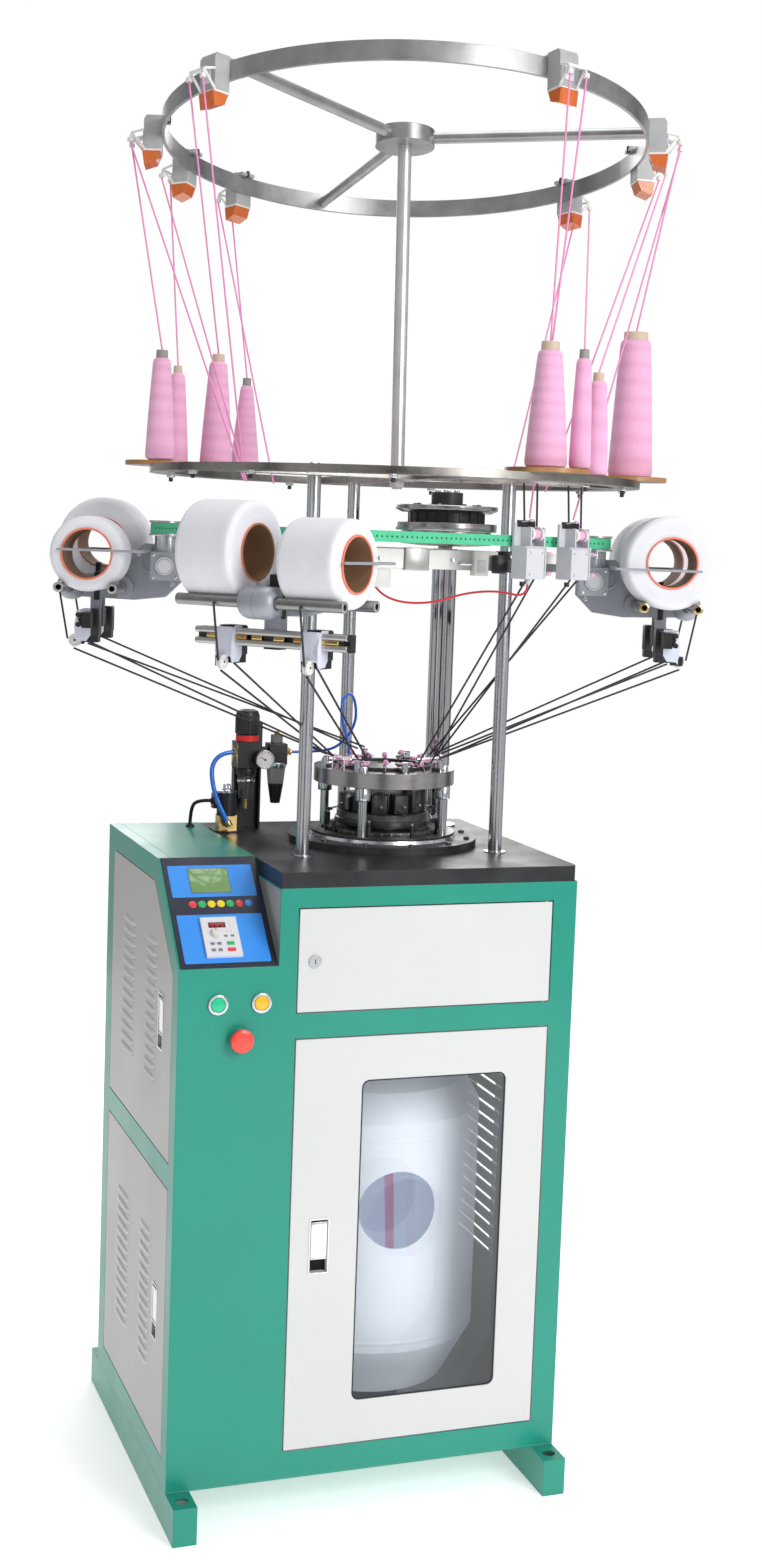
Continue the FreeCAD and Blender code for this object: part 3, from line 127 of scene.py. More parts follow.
# ---- materials ---------------------------------------------------------------------------------------
class Shader:
    """A Principled material whose colour, roughness and relief come from noise in the piece's own space."""

    def __init__(self, name):
        self.material = bpy.data.materials.new(name)
        self.material.use_nodes = True
        self.tree = self.material.node_tree
        self.principled = self.tree.nodes["Principled BSDF"]
        self.space = self.node("ShaderNodeTexCoord").outputs["Object"]
        self.normal = None

    def node(self, kind, **values):
        made = self.tree.nodes.new(kind)
        for key, value in values.items():
            setattr(made, key, value)
        return made

    def link(self, a, b):
        self.tree.links.new(a, b)

    def stretched(self, stretch):
        mapping = self.node("ShaderNodeMapping")
        mapping.inputs["Scale"].default_value = stretch
        self.link(self.space, mapping.inputs["Vector"])
        return mapping.outputs["Vector"]

    def noise(self, scale, detail=3.0, rough=0.5, stretch=(1, 1, 1)):
        made = self.node("ShaderNodeTexNoise")
        made.inputs["Scale"].default_value = scale
        made.inputs["Detail"].default_value = detail
        made.inputs["Roughness"].default_value = rough
        self.link(self.stretched(stretch), made.inputs["Vector"])
        return made.outputs["Fac"]

    def ramp(self, factor, stops):
        made = self.node("ShaderNodeValToRGB")
        elements = made.color_ramp.elements
        while len(elements) < len(stops):
            elements.new(0.5)
        for element, (place, colour) in zip(elements, stops):
            element.position = place
            element.color = (*colour, 1.0)
        self.link(factor, made.inputs["Fac"])
        return made.outputs["Color"]

    def spread(self, factor, low, high):
        made = self.node("ShaderNodeMapRange")
        made.inputs["From Min"].default_value = 0.3
        made.inputs["From Max"].default_value = 0.7
        made.inputs["To Min"].default_value = low
        made.inputs["To Max"].default_value = high
        self.link(factor, made.inputs["Value"])
        return made.outputs["Result"]

    def bump(self, height, strength, distance):
        made = self.node("ShaderNodeBump")
        made.inputs["Strength"].default_value = strength
        made.inputs["Distance"].default_value = distance
        self.link(height, made.inputs["Height"])
        if self.normal is not None:
            self.link(self.normal, made.inputs["Normal"])
        self.normal = made.outputs["Normal"]

    def rounded_edges(self, radius):
        made = self.node("ShaderNodeBevel")
        made.samples = 4
        made.inputs["Radius"].default_value = radius
        self.normal = made.outputs["Normal"]

    def wave(self, kind, axis, pitch, distortion, detail_scale=1.0):
        """Fine bands or rings, one for each pitch along an axis."""
        made = self.node("ShaderNodeTexWave", wave_type=kind, wave_profile="SIN")
        setattr(made, kind.lower() + "_direction", axis)
        made.inputs["Scale"].default_value = 0.314 / pitch
        made.inputs["Distortion"].default_value = distortion
        made.inputs["Detail Scale"].default_value = detail_scale
        self.link(self.space, made.inputs["Vector"])
        return made.outputs["Fac"]

    def joined(self, operation, a, b):
        made = self.node("ShaderNodeMath", operation=operation)
        self.link(a, made.inputs[0])
        self.link(b, made.inputs[1])
        return made.outputs[0]

    def values(self, **named):
        """Sets constant values, named as the sockets are with spaces for underscores."""
        for key, value in named.items():
            self.principled.inputs[key.replace("_", " ")].default_value = value

    def done(self):
        if self.normal is not None:
            self.link(self.normal, self.principled.inputs["Normal"])
        return self.material


def shade(colour, amount):
    return tuple(min(1.0, max(0.0, c * amount)) for c in colour)


def surface(name, colour, rough=0.4, metal=0.0, vary=0.06, vary_scale=9.0, grain=(600.0, 0.08, 0.0004),
            stretch=(1, 1, 1), edge=0.0, coat=0.0, sheen=0.0, alpha=1.0, transmission=0.0, subsurface=0.0,
            emit=0.0, dirt=None, specular=0.5):
    made = Shader(name)
    if edge:
        made.rounded_edges(edge)
    broad = made.noise(vary_scale, 4.0, 0.6, stretch)
    stops = [(0.3, shade(colour, 1.0 - vary)), (0.7, shade(colour, 1.0 + vary))]
    if dirt:
        stops.insert(0, (0.18, dirt))
    made.link(made.ramp(broad, stops), made.principled.inputs["Base Color"])
    fine = made.noise(grain[0], 2.0, 0.6, stretch)
    roughness = made.spread(broad, max(0.02, rough * 0.82), min(1.0, rough * 1.18))
    made.link(roughness, made.principled.inputs["Roughness"])
    if grain[1]:
        made.bump(fine, grain[1], grain[2])
    made.values(Metallic=metal, Alpha=alpha, Transmission_Weight=transmission, Subsurface_Weight=subsurface,
                Coat_Weight=coat, Coat_Roughness=0.12, Sheen_Weight=sheen, Sheen_Roughness=0.4,
                Emission_Strength=emit, Specular_IOR_Level=specular)
    if emit:
        made.values(Emission_Color=(*colour, 1.0))
    if subsurface:
        made.values(Subsurface_Radius=(0.012, 0.01, 0.008), Subsurface_Scale=1.0)
    return made.done()


def wound(name, colour, pitch, relief, groove_shade):
    """Yarn wound in fine turns about the piece's own Z axis, with painted shade in the grooves between turns.
    """
    made = Shader(name)
    both = made.joined("ADD", made.wave("BANDS", "Z", pitch, 2.2, 1.5),
                       made.wave("RINGS", "Z", pitch / 0.8, 2.2, 1.5))
    fuzz = made.noise(900.0, 3.0, 0.7)
    tint = made.noise(22.0, 3.0, 0.6, (1, 1, 3))
    mixed = made.node("ShaderNodeMix", data_type="RGBA", blend_type="MULTIPLY")
    mixed.inputs["Factor"].default_value = 1.0
    made.link(made.ramp(tint, [(0.3, shade(colour, 0.975)), (0.7, colour)]), mixed.inputs[6])
    # the grooves between turns are tinted darker: painted shade
    made.link(made.ramp(both, [(0.1, groove_shade), (0.9, (1, 1, 1))]), mixed.inputs[7])
    made.link(mixed.outputs[2], made.principled.inputs["Base Color"])
    made.link(made.spread(fuzz, 0.72, 0.88), made.principled.inputs["Roughness"])
    made.bump(both, 0.5, relief)
    made.bump(fuzz, 0.25, relief)
    made.values(Sheen_Weight=0.35, Sheen_Roughness=0.5)
    return made.done()


def knitted_with_painted_light(name, colour):
    """Rows of small stitches, 2.2 mm apart both ways, with painted shade in the gaps and a faint painted
    glow.
    """
    made = Shader(name)
    both = made.joined("MULTIPLY", made.wave("BANDS", "X", 0.0022, 1.2), made.wave("BANDS", "Z", 0.0022, 1.2))
    # the darker gaps between the stitches are painted shade
    stitches = made.ramp(both, [(0.0, shade(colour, 0.62)), (0.8, colour)])
    made.link(stitches, made.principled.inputs["Base Color"])
    made.link(made.spread(made.noise(300.0), 0.75, 0.95), made.principled.inputs["Roughness"])
    made.bump(both, 0.8, 0.0008)
    # the glow in the fabric's own colour is painted light
    made.values(Sheen_Weight=0.4, Emission_Color=(*colour, 1.0), Emission_Strength=0.18)
    return made.done()


# grains are (scale, strength, depth) of the finest relief
PAINT_GRAIN = (420.0, 0.1, 0.0005)
FAINT_GRAIN = (900.0, 0.05, 0.0002)
FINE_GRAIN = (900.0, 0.1, 0.0002)
COARSE_GRAIN = (900.0, 0.2, 0.0002)
KEY_GRAIN = (1500.0, 0.12, 0.0002)
CARD_GRAIN = (900.0, 0.3, 0.0003)
HOSE_GRAIN = (300.0, 0.04, 0.0003)
THREAD_GRAIN = (2500.0, 0.5, 0.0003)
NO_GRAIN = (900.0, 0.0, 0.0)

paint_teal = surface("paint_teal", (0.006, 0.285, 0.205), 0.34, vary=0.05, vary_scale=5.0, grain=PAINT_GRAIN,
                     edge=0.0016, coat=0.15)
paint_door = surface("paint_door", (0.66, 0.665, 0.665), 0.38, vary=0.02, vary_scale=5.0, grain=PAINT_GRAIN,
                     edge=0.0016, coat=0.1)
# the same off-white door paint made darker for the left doors: painted shade, as that side is turned from the
# light
door_paint_painted_shade = surface("door_paint_painted_shade", (0.44, 0.435, 0.43), 0.4, vary=0.03, vary_scale=5.0,
                          grain=PAINT_GRAIN, edge=0.0016, coat=0.1)
# grey inside of the cabinet with a faint glow in its own colour: painted light that brightens the inside seen
# through the window
inner_grey_painted_glow = surface("inner_grey_painted_glow", (0.36, 0.37, 0.37), 0.5, vary=0.06, vary_scale=6.0, grain=PAINT_GRAIN,
                     emit=0.13)
paint_black = surface("paint_black", (0.026, 0.027, 0.03), 0.36, vary=0.25, vary_scale=14.0,
                      grain=(500.0, 0.06, 0.0003), edge=0.002, specular=0.3)
film_dark = surface("film_dark", (0.014, 0.017, 0.04), 0.3, vary=0.1, grain=FAINT_GRAIN)
film_blue = surface("film_blue", (0.035, 0.3, 0.9), 0.38, vary=0.03, grain=FAINT_GRAIN)
lcd_glass = surface("lcd_glass", (0.2, 0.36, 0.13), 0.1, vary=0.12, vary_scale=40.0, grain=NO_GRAIN,
                    coat=0.8)
lcd_frame = surface("lcd_frame", (0.16, 0.22, 0.26), 0.4, grain=FINE_GRAIN)
display_red = surface("display_red", (0.05, 0.004, 0.01), 0.15, grain=NO_GRAIN, coat=0.7)
segment_red = surface("segment_red", (0.75, 0.03, 0.02), 0.4, vary=0.1, vary_scale=300.0, emit=0.6)
key_white = surface("key_white", (0.76, 0.76, 0.8), 0.42, vary=0.03, grain=KEY_GRAIN, edge=0.0008)
key_cream = surface("key_cream", (0.72, 0.71, 0.66), 0.4, vary=0.03, grain=KEY_GRAIN, edge=0.0006)
key_grey = surface("key_grey", (0.2, 0.21, 0.25), 0.45, grain=KEY_GRAIN)
KEY_COLOURS = {name: surface("key_" + name, colour, 0.32, vary=0.05, coat=0.3) for name, colour in (
    ("red", (0.78, 0.05, 0.06)), ("green", (0.02, 0.48, 0.12)), ("yellow", (0.88, 0.68, 0.01)),
    ("blue", (0.05, 0.28, 0.8)))}
lens_green = surface("lens_green", (0.005, 0.56, 0.27), 0.22, vary=0.06, vary_scale=60.0, coat=0.5)
lens_yellow = surface("lens_yellow", (0.9, 0.5, 0.01), 0.22, vary=0.06, vary_scale=60.0, coat=0.5)
lens_red = surface("lens_red", (0.84, 0.07, 0.05), 0.3, vary=0.05, vary_scale=60.0, coat=0.3)
satin_chrome = surface("satin_chrome", (0.72, 0.73, 0.75), 0.22, 1.0, vary=0.04, vary_scale=50.0,
                       grain=FAINT_GRAIN, stretch=(1, 1, 0.1), edge=0.0008)
polished = surface("polished", (0.74, 0.76, 0.8), 0.2, 1.0, vary=0.04, vary_scale=25.0,
                   grain=(700.0, 0.03, 0.0002), stretch=(1, 1, 0.08))
column_chrome = surface("column_chrome", (0.72, 0.72, 0.75), 0.07, 1.0, vary=0.04, vary_scale=25.0,
                        grain=(700.0, 0.02, 0.0002), stretch=(1, 1, 0.08))
machined = surface("machined", (0.5, 0.49, 0.48), 0.24, 1.0, vary=0.1, vary_scale=30.0,
                   grain=(900.0, 0.1, 0.0003), stretch=(0.12, 0.12, 1.0), edge=0.0008)
oily_steel = surface("oily_steel", (0.16, 0.155, 0.15), 0.3, 0.85, vary=0.35, vary_scale=45.0,
                     grain=(500.0, 0.2, 0.0004), edge=0.0006, dirt=(0.035, 0.03, 0.028))
dark_iron = surface("dark_iron", (0.045, 0.045, 0.048), 0.38, 0.4, vary=0.35, vary_scale=35.0,
                    grain=(400.0, 0.25, 0.0004), edge=0.0008)
tray_steel = surface("tray_steel", (0.36, 0.34, 0.32), 0.3, 1.0, vary=0.16, vary_scale=35.0,
                     grain=(600.0, 0.2, 0.0004), edge=0.001, dirt=(0.2, 0.15, 0.11))
ring_steel = surface("ring_steel", (0.42, 0.42, 0.42), 0.34, 0.9, vary=0.16, vary_scale=22.0,
                     grain=(500.0, 0.25, 0.0004), edge=0.001)
mast_steel = surface("mast_steel", (0.78, 0.78, 0.78), 0.34, 0.8, vary=0.05, vary_scale=22.0,
                     grain=(500.0, 0.02, 0.0002))
cast_grey = surface("cast_grey", (0.36, 0.38, 0.42), 0.42, 0.3, vary=0.06, vary_scale=18.0,
                    grain=(330.0, 0.28, 0.0005), edge=0.0018)
frame_alloy = surface("frame_alloy", (0.55, 0.545, 0.53), 0.34, 0.75, vary=0.08, vary_scale=20.0,
                      grain=(500.0, 0.12, 0.0003), stretch=(1, 1, 0.2), edge=0.001)
unit_grey = surface("unit_grey", (0.62, 0.63, 0.67), 0.4, 0.0, vary=0.03, vary_scale=18.0,
                    grain=(600.0, 0.15, 0.0003), edge=0.0012)
roller_steel = surface("roller_steel", (0.33, 0.325, 0.32), 0.3, 0.85, vary=0.12, vary_scale=30.0,
                       grain=(800.0, 0.12, 0.0003))
lilac_plastic = surface("lilac_plastic", (0.7, 0.72, 0.84), 0.35, vary=0.03, vary_scale=30.0,
                        grain=(700.0, 0.08, 0.0002), edge=0.0008, subsurface=0.05)
white_plastic = surface("white_plastic", (0.8, 0.79, 0.76), 0.38, vary=0.04, vary_scale=30.0,
                        grain=(900.0, 0.08, 0.0002), edge=0.0006)
black_plastic = surface("black_plastic", (0.018, 0.018, 0.02), 0.36, vary=0.2, vary_scale=30.0,
                        grain=COARSE_GRAIN, edge=0.0008)
# near-black fill for holes, slots and recesses: painted shade where the dark inside would show
painted_hole_shade = surface("painted_hole_shade", (0.006, 0.006, 0.006), 0.9, grain=FINE_GRAIN)
rubber_black = surface("rubber_black", (0.016, 0.016, 0.017), 0.55, grain=(900.0, 0.25, 0.0003))
brass = surface("brass", (0.74, 0.53, 0.22), 0.22, 1.0, vary=0.1, vary_scale=80.0, grain=FINE_GRAIN,
                edge=0.0005)
copper_brass = surface("copper_brass", (0.62, 0.36, 0.12), 0.3, 0.9, vary=0.25, vary_scale=60.0,
                       grain=FINE_GRAIN)
smoky = surface("smoky", (0.3, 0.29, 0.29), 0.07, vary=0.1, vary_scale=60.0, grain=(300.0, 0.05, 0.0003),
                transmission=0.8)
clear_pane = surface("clear_pane", (0.93, 0.95, 0.96), 0.03, vary=0.01, grain=(3.0, 0.02, 0.0004),
                     transmission=1.0, alpha=0.12)
# pale bluish translucent barrel; its faint glow is painted light that brightens it behind the window
barrel_plastic_painted_glow = surface("barrel_plastic_painted_glow", (0.8, 0.86, 0.95), 0.36, vary=0.02, vary_scale=7.0,
                         grain=(120.0, 0.12, 0.0006), subsurface=0.15, emit=0.1)
motor_paint = surface("motor_paint", (0.12, 0.14, 0.17), 0.42, 0.2, grain=(300.0, 0.2, 0.0004), edge=0.001)
belt_mint = surface("belt_mint", (0.085, 0.56, 0.3), 0.52, vary=0.06, vary_scale=60.0,
                    grain=(1200.0, 0.3, 0.0002))
card_tube = surface("card_tube", (0.3, 0.17, 0.095), 0.75, vary=0.12, vary_scale=40.0,
                    grain=(700.0, 0.35, 0.0003))
card_rim = surface("card_rim", (0.86, 0.22, 0.13), 0.55, vary=0.08, vary_scale=60.0, grain=COARSE_GRAIN)
tip_card = surface("tip_card", (0.62, 0.5, 0.38), 0.75, vary=0.08, vary_scale=60.0, grain=CARD_GRAIN)
tip_grey = surface("tip_grey", (0.3, 0.29, 0.28), 0.6, vary=0.08, vary_scale=60.0, grain=CARD_GRAIN)
wood = surface("wood", (0.42, 0.2, 0.075), 0.42, vary=0.22, vary_scale=28.0, grain=(260.0, 0.2, 0.0004),
               stretch=(1, 0.12, 1), coat=0.2, edge=0.001)
guide_box = surface("guide_box", (0.42, 0.425, 0.43), 0.42, vary=0.08, vary_scale=45.0,
                    grain=(500.0, 0.15, 0.0003), edge=0.001)
amber = surface("amber", (0.66, 0.15, 0.03), 0.22, vary=0.1, vary_scale=60.0, grain=(600.0, 0.06, 0.0003),
                edge=0.0008, coat=0.4, subsurface=0.1)
thread_pink = surface("thread_pink", (0.86, 0.3, 0.58), 0.8, vary=0.08, vary_scale=300.0,
                      grain=THREAD_GRAIN, sheen=0.3)
pink_part = surface("pink_part", (0.84, 0.4, 0.66), 0.38, vary=0.05, vary_scale=60.0, grain=FINE_GRAIN,
                    edge=0.0005)
thread_dark = surface("thread_dark", (0.03, 0.03, 0.034), 0.55, vary=0.2, vary_scale=300.0,
                      grain=THREAD_GRAIN)
hose_bright = surface("hose_bright", (0.012, 0.185, 0.8), 0.22, vary=0.05, vary_scale=60.0, coat=0.4,
                      grain=HOSE_GRAIN)
hose_deep = surface("hose_deep", (0.012, 0.11, 0.62), 0.24, vary=0.05, vary_scale=60.0, coat=0.4,
                    grain=HOSE_GRAIN)
cable_black = surface("cable_black", (0.014, 0.014, 0.015), 0.32, vary=0.2, grain=COARSE_GRAIN, coat=0.3)
cable_red = surface("cable_red", (0.66, 0.03, 0.045), 0.36, vary=0.08, grain=FINE_GRAIN)
dial_white = surface("dial_white", (0.82, 0.82, 0.8), 0.5, vary=0.02, grain=FAINT_GRAIN)
red_band = surface("red_band", (0.72, 0.02, 0.02), 0.35, vary=0.05, grain=FAINT_GRAIN)
# the last colour of each is the painted shade in the grooves between turns
yarn_white = wound("yarn_white", (0.86, 0.86, 0.9), 0.0011, 0.00035, (0.86, 0.87, 0.92))
yarn_pink = wound("yarn_pink", (0.9, 0.47, 0.7), 0.0013, 0.0004, (0.86, 0.74, 0.8))
# knitted fabric with painted shade between the stitches and a faint painted glow
knit_pink = knitted_with_painted_light("knit_pink", (0.8, 0.3, 0.48))


# ---- building tools ----------------------------------------------------------------------------------
def linked(name, data):
    made = bpy.data.objects.new(name, data)
    bpy.context.scene.collection.objects.link(made)
    return made


def turned(axis, degrees, at=(0, 0, 0)):
    return Matrix.Translation(Vector(at)) @ Matrix.Rotation(math.radians(degrees), 4, axis)


def shift(x, y, z):
    return Matrix.Translation((x, y, z))


def facing(direction, at=(0, 0, 0)):
    """A place whose Z axis points along a direction."""
    return Matrix.Translation(at) @ direction.to_track_quat("Z", "Y").to_matrix().to_4x4()


def ring_of(count, first=0.0):
    """Evenly spaced turns about Z."""
    return [turned("Z", 360.0 * k / count + first) for k in range(count)]


def nurbs(curve, points):
    """Adds a smooth line that has the points as its control points."""
    line = curve.splines.new("NURBS")
    line.points.add(len(points) - 1)
    for point, at in zip(line.points, points):
        point.co = (*at, 1.0)
    line.order_u = 3
    line.use_endpoint_u = True


def drawn_curve(name, radius, material, bevel_resolution):
    curve = bpy.data.curves.new(name, "CURVE")
    curve.dimensions = "3D"
    curve.bevel_depth = radius
    curve.bevel_resolution = bevel_resolution
    curve.materials.append(material)
    return curve


def handed_over(made, body, slot, replaces=()):
    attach(made, body)
    if replaces:
        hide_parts(*replaces)


class Piece:
    """One object, made of several shapes that may differ in material."""

    def __init__(self, name, place=None):
        self.name = name
        self.place = place or Matrix.Identity(4)
        self.mesh = bmesh.new()
        self.materials = []

    def slot(self, material):
        if material not in self.materials:
            self.materials.append(material)
        return self.materials.index(material)

    def take(self, shape, material, turn):
        """Copies a bmesh into the piece."""
        index = self.slot(material)
        turn = turn or Matrix.Identity(4)
        flip = turn.to_3x3().determinant() < 0
        verts = {v: self.mesh.verts.new(turn @ v.co) for v in shape.verts}
        for face in shape.faces:
            corners = [verts[v] for v in face.verts]
            if flip:
                corners.reverse()
            made = self.mesh.faces.new(corners)
            made.material_index = index
            made.smooth = True
        shape.free()

    def box(self, x0, x1, y0, y1, z0, z1, material, turn=None, bevel=0.0006):
        shape = bmesh.new()
        bmesh.ops.create_cube(shape, size=1.0)
        size = Vector((x1 - x0, y1 - y0, z1 - z0))
        middle = Vector((x1 + x0, y1 + y0, z1 + z0)) / 2
        for v in shape.verts:
            v.co = Vector((v.co.x * size.x, v.co.y * size.y, v.co.z * size.z)) + middle
        bevel = min(bevel, 0.45 * min(size))
        bmesh.ops.bevel(shape, geom=shape.edges[:], offset=bevel, segments=2, profile=0.5, affect="EDGES")
        self.take(shape, material, turn)

    def lathe(self, profile, material, turn=None, count=40):
        """Turns an open or closed (radius, height) line about Z; ends on the axis are closed."""
        shape = bmesh.new()
        rings = []
        for radius, height in profile:
            if radius < 1e-6:
                rings.append([shape.verts.new((0, 0, height))])
            else:
                rings.append([shape.verts.new((radius * math.cos(2 * math.pi * k / count),
                                               radius * math.sin(2 * math.pi * k / count), height))
                              for k in range(count)])
        for low, high in zip(rings, rings[1:]):
            for k in range(count):
                n = (k + 1) % count
                if len(low) == 1 and len(high) > 1:
                    shape.faces.new((low[0], high[n], high[k]))
                elif len(high) == 1 and len(low) > 1:
                    shape.faces.new((low[k], low[n], high[0]))
                elif len(low) > 1:
                    shape.faces.new((low[k], low[n], high[n], high[k]))
        self.take(shape, material, turn)

    def disc(self, radius, low, high, material, turn=None, edge=0.0004, count=32):
        self.lathe([(0, low), (radius - edge, low), (radius, low + edge), (radius, high - edge),
                    (radius - edge, high), (0, high)], material, turn, count)

    def rod(self, start, end, radius, material, turn=None, count=14):
        start, end = Vector(start), Vector(end)
        along = end - start
        place = (turn or Matrix.Identity(4)) @ facing(along, start)
        self.disc(radius, 0.0, along.length, material, place, radius * 0.15, count)

    def prism(self, outline, depth, material, turn=None, bevel=0.0004):
        """An (x, y) outline, counter-clockwise, raised along Z by a depth."""
        shape = bmesh.new()
        low = [shape.verts.new((x, y, 0)) for x, y in outline]
        high = [shape.verts.new((x, y, depth)) for x, y in outline]
        shape.faces.new(list(reversed(low)))
        shape.faces.new(high)
        for k in range(len(outline)):
            n = (k + 1) % len(outline)
            shape.faces.new((low[k], low[n], high[n], high[k]))
        if bevel:
            sharp = [e for e in shape.edges if len(e.link_faces) == 2
                     and e.calc_face_angle(0.0) > math.radians(30)]
            bmesh.ops.bevel(shape, geom=sharp, offset=bevel, segments=2, profile=0.5, affect="EDGES")
        self.take(shape, material, turn)

    def strip(self, rows, material):
        """A sheet through rows of points."""
        shape = bmesh.new()
        grid = [[shape.verts.new(p) for p in row] for row in rows]
        for a, b in zip(grid, grid[1:]):
            for k in range(len(a) - 1):
                shape.faces.new((a[k], a[k + 1], b[k + 1], b[k]))
        self.take(shape, material, None)

    def done(self, body, slot, replaces=()):
        data = bpy.data.meshes.new(self.name)
        bmesh.ops.recalc_face_normals(self.mesh, faces=self.mesh.faces)
        self.mesh.to_mesh(data)
        self.mesh.free()
        for material in self.materials:
            data.materials.append(material)
        data.set_sharp_from_angle(angle=math.radians(38))
        made = linked(self.name, data)
        made.matrix_world = self.place
        handed_over(made, body, slot, replaces)


def eye(inner, outer, half):
    """The profile of a small ceramic eye."""
    return [(inner, -half), (outer - 0.0004, -half), (outer, 0), (outer - 0.0004, half), (inner, half)]


def arm_place(name):
    centre, heading = ARMS[name][:2]
    return turned("Z", heading, centre)


def around(heading, distance, z):
    turn = math.radians(heading)
    return HEAD + Vector((distance * math.cos(turn), distance * math.sin(turn), z))


def paint(node, material, *others):
    """Gives a CAD node its materials; each of the others is (material, test of a face's middle)."""
    mesh = NODES[node].data
    mesh.materials.clear()
    mesh.materials.append(material)
    for other, test in others:
        mesh.materials.append(other)
    for face in mesh.polygons:
        face.material_index = 0
        for index, (other, test) in enumerate(others):
            if test(face.center):
                face.material_index = index + 1


def cord(name, points, radius, material, slot, node):
    curve = drawn_curve(name, radius, material, 4)
    curve.resolution_u = 12
    curve.use_fill_caps = True
    nurbs(curve, points)
    handed_over(linked(name, curve), "frame", slot, (node,))


# ---- CAD nodes that keep their shape -----------------------------------------------------------------
ONE_PAINT = {
    paint_black: ("table_slab",),
    paint_door: ("front_upper_door", "front_lower_door"),
    # the left doors take the darker copy of the door paint, which is painted shade
    door_paint_painted_shade: ("left_upper_door", "left_lower_door"),
    clear_pane: ("window_pane",),
    satin_chrome: ("front_latch", "side_upper_latch", "side_lower_latch", "front_lock"),
    key_cream: ("keypad_knob",),
    motor_paint: ("main_motor",),
    frame_alloy: ("motor_pulley", "left_pulley", "front_pulley", "right_pulley"),
    barrel_plastic_painted_glow: ("fabric_barrel",),
    roller_steel: [arm + end for arm in ARMS for end in ("_roller_inner", "_roller_outer")],
    white_plastic: ["feeder_wheel_1", "feeder_wheel_2"] + [arm + "_guide_wheels" for arm in ARMS],
    black_plastic: ("air_knob",),
}


def paint_cad():
    for material, nodes in ONE_PAINT.items():
        for node in nodes:
            paint(node, material)
    # the inside faces get the grey with its painted glow
    paint("cabinet_shell", paint_teal, (inner_grey_painted_glow, inside_cabinet))
    paint("control_panel", film_dark,
          (key_white, lambda c: keypad_height(c) > 0.0025 and c.z > KEYPAD_LOW_Z),
          (satin_chrome, lambda c: c.z < KEYPAD_LOW_Z))
    paint("head_base", dark_iron, (polished, lambda c: c.z > FLANGE_RIM_Z))
    paint("stitch_ring", machined, (polished, lambda c: c.z > RING_TOP + 0.0005 or c.z < RING_FOOT_Z))
    paint("needle_cylinder", oily_steel, (frame_alloy, lambda c: c.z < GEAR_TOP_Z))
    paint("support_posts", polished, (column_chrome, lambda c: (c.xy - COLUMN.xy).length < COLUMN_REACH))
    paint("feed_wheel", machined,
          (black_plastic, lambda c: CAGE_Z[0] < c.z < CAGE_Z[1] and (c.xy - COLUMN.xy).length < CAGE_R),
          (dark_iron, lambda c: c.z > NUT_Z), (frame_alloy, lambda c: c.z < HUB_Z))
    paint("belts", belt_mint, (rubber_black, lambda c: c.z < TABLE_CLEAR_Z))
    paint("support_frame", frame_alloy, (unit_grey, on_feed_unit))
    for arm in ARMS:
        paint(arm + "_arm", cast_grey, (satin_chrome, lambda c: c.z > ARM_PIN_Z),
              (black_plastic, lambda c: c.z < RAIL_Z))
    paint("cone_tray", tray_steel, (wood, lambda c: c.z > TRAY_TOP + 0.0005))
    paint("top_ring", ring_steel, (mast_steel, lambda c: (c - MAST).cross(MAST_AXIS).length < 0.03
                                   and (c - MAST).dot(MAST_AXIS) < TOP_RING_H - 0.014))
    paint("air_unit", black_plastic,
          (smoky, on_bowl), (brass, on_brass),
          (satin_chrome, on_air_chrome), (dark_iron, lambda c: c.z < BRACKET_Z))


def inside_cabinet(at):
    """True inside the walls, but not on the console's two outer faces."""
    within = abs(at.x) < HALF_W - 0.001 and abs(at.y) < HALF_D - 0.001 and INSIDE_Z[0] < at.z < INSIDE_Z[1]
    return within and keypad_height(at) < -0.001 and abs(at.x - CONSOLE_WALL_X) > 0.003


def keypad_height(at):
    """How far a point stands above the cabinet's sloping face."""
    normal = Vector((0, -math.sin(PANEL_TURN), math.cos(PANEL_TURN)))
    return (at - PANEL_LOW).dot(normal)


def on_feed_unit(at):
    for unit in FEED_UNITS:
        local = turned("Z", -BELT_HEADING) @ (at - unit)
        if -0.031 < local.x < 0.018 and -0.016 < local.y < 0.017:
            return True
    return False


def on_bowl(at):
    near_air = (at.xy - AIR.xy).length
    near_oiler = (at.xy - OILER.xy).length
    return (near_air < 0.0147 and 1.0285 < at.z < 1.069) or (near_oiler < 0.0167 and 1.0525 < at.z < 1.0835) \
        or (near_oiler < 0.0102 and 1.119 < at.z < 1.1315)


def on_brass(at):
    near_air = (at.xy - AIR.xy).length
    valve = at - VALVE
    if near_air < 0.0045 and at.z < 1.028:
        return True
    if (at.xy - OILER.xy).length < 0.0045 and at.z > 1.1315:
        return True
    if abs(at.z - PORT_Z) < 0.0062 and (at.x < -0.1205 or at.x > -0.0352):
        return True
    return 0.979 < at.z < 1.0015 and (abs(valve.x) < 0.0155 and -0.03 < valve.y < 0.0125)


def on_air_chrome(at):
    return (at.xy - VALVE.xy).length < 0.0065 and at.z > 1.0415


# ---- cabinet details ---------------------------------------------------------------------------------
SLOPE = Matrix.Translation(PANEL_LOW) @ Matrix.Rotation(PANEL_TURN, 4, "X")


def rounded_outline(x0, x1, y0, y1, radius, steps=5):
    points = []
    for cx, cy, first in ((x1 - radius, y0 + radius, -90), (x1 - radius, y1 - radius, 0),
                          (x0 + radius, y1 - radius, 90), (x0 + radius, y0 + radius, 180)):
        for step in range(steps + 1):
            turn = math.radians(first + 90.0 * step / steps)
            points.append((cx + radius * math.cos(turn), cy + radius * math.sin(turn)))
    return points


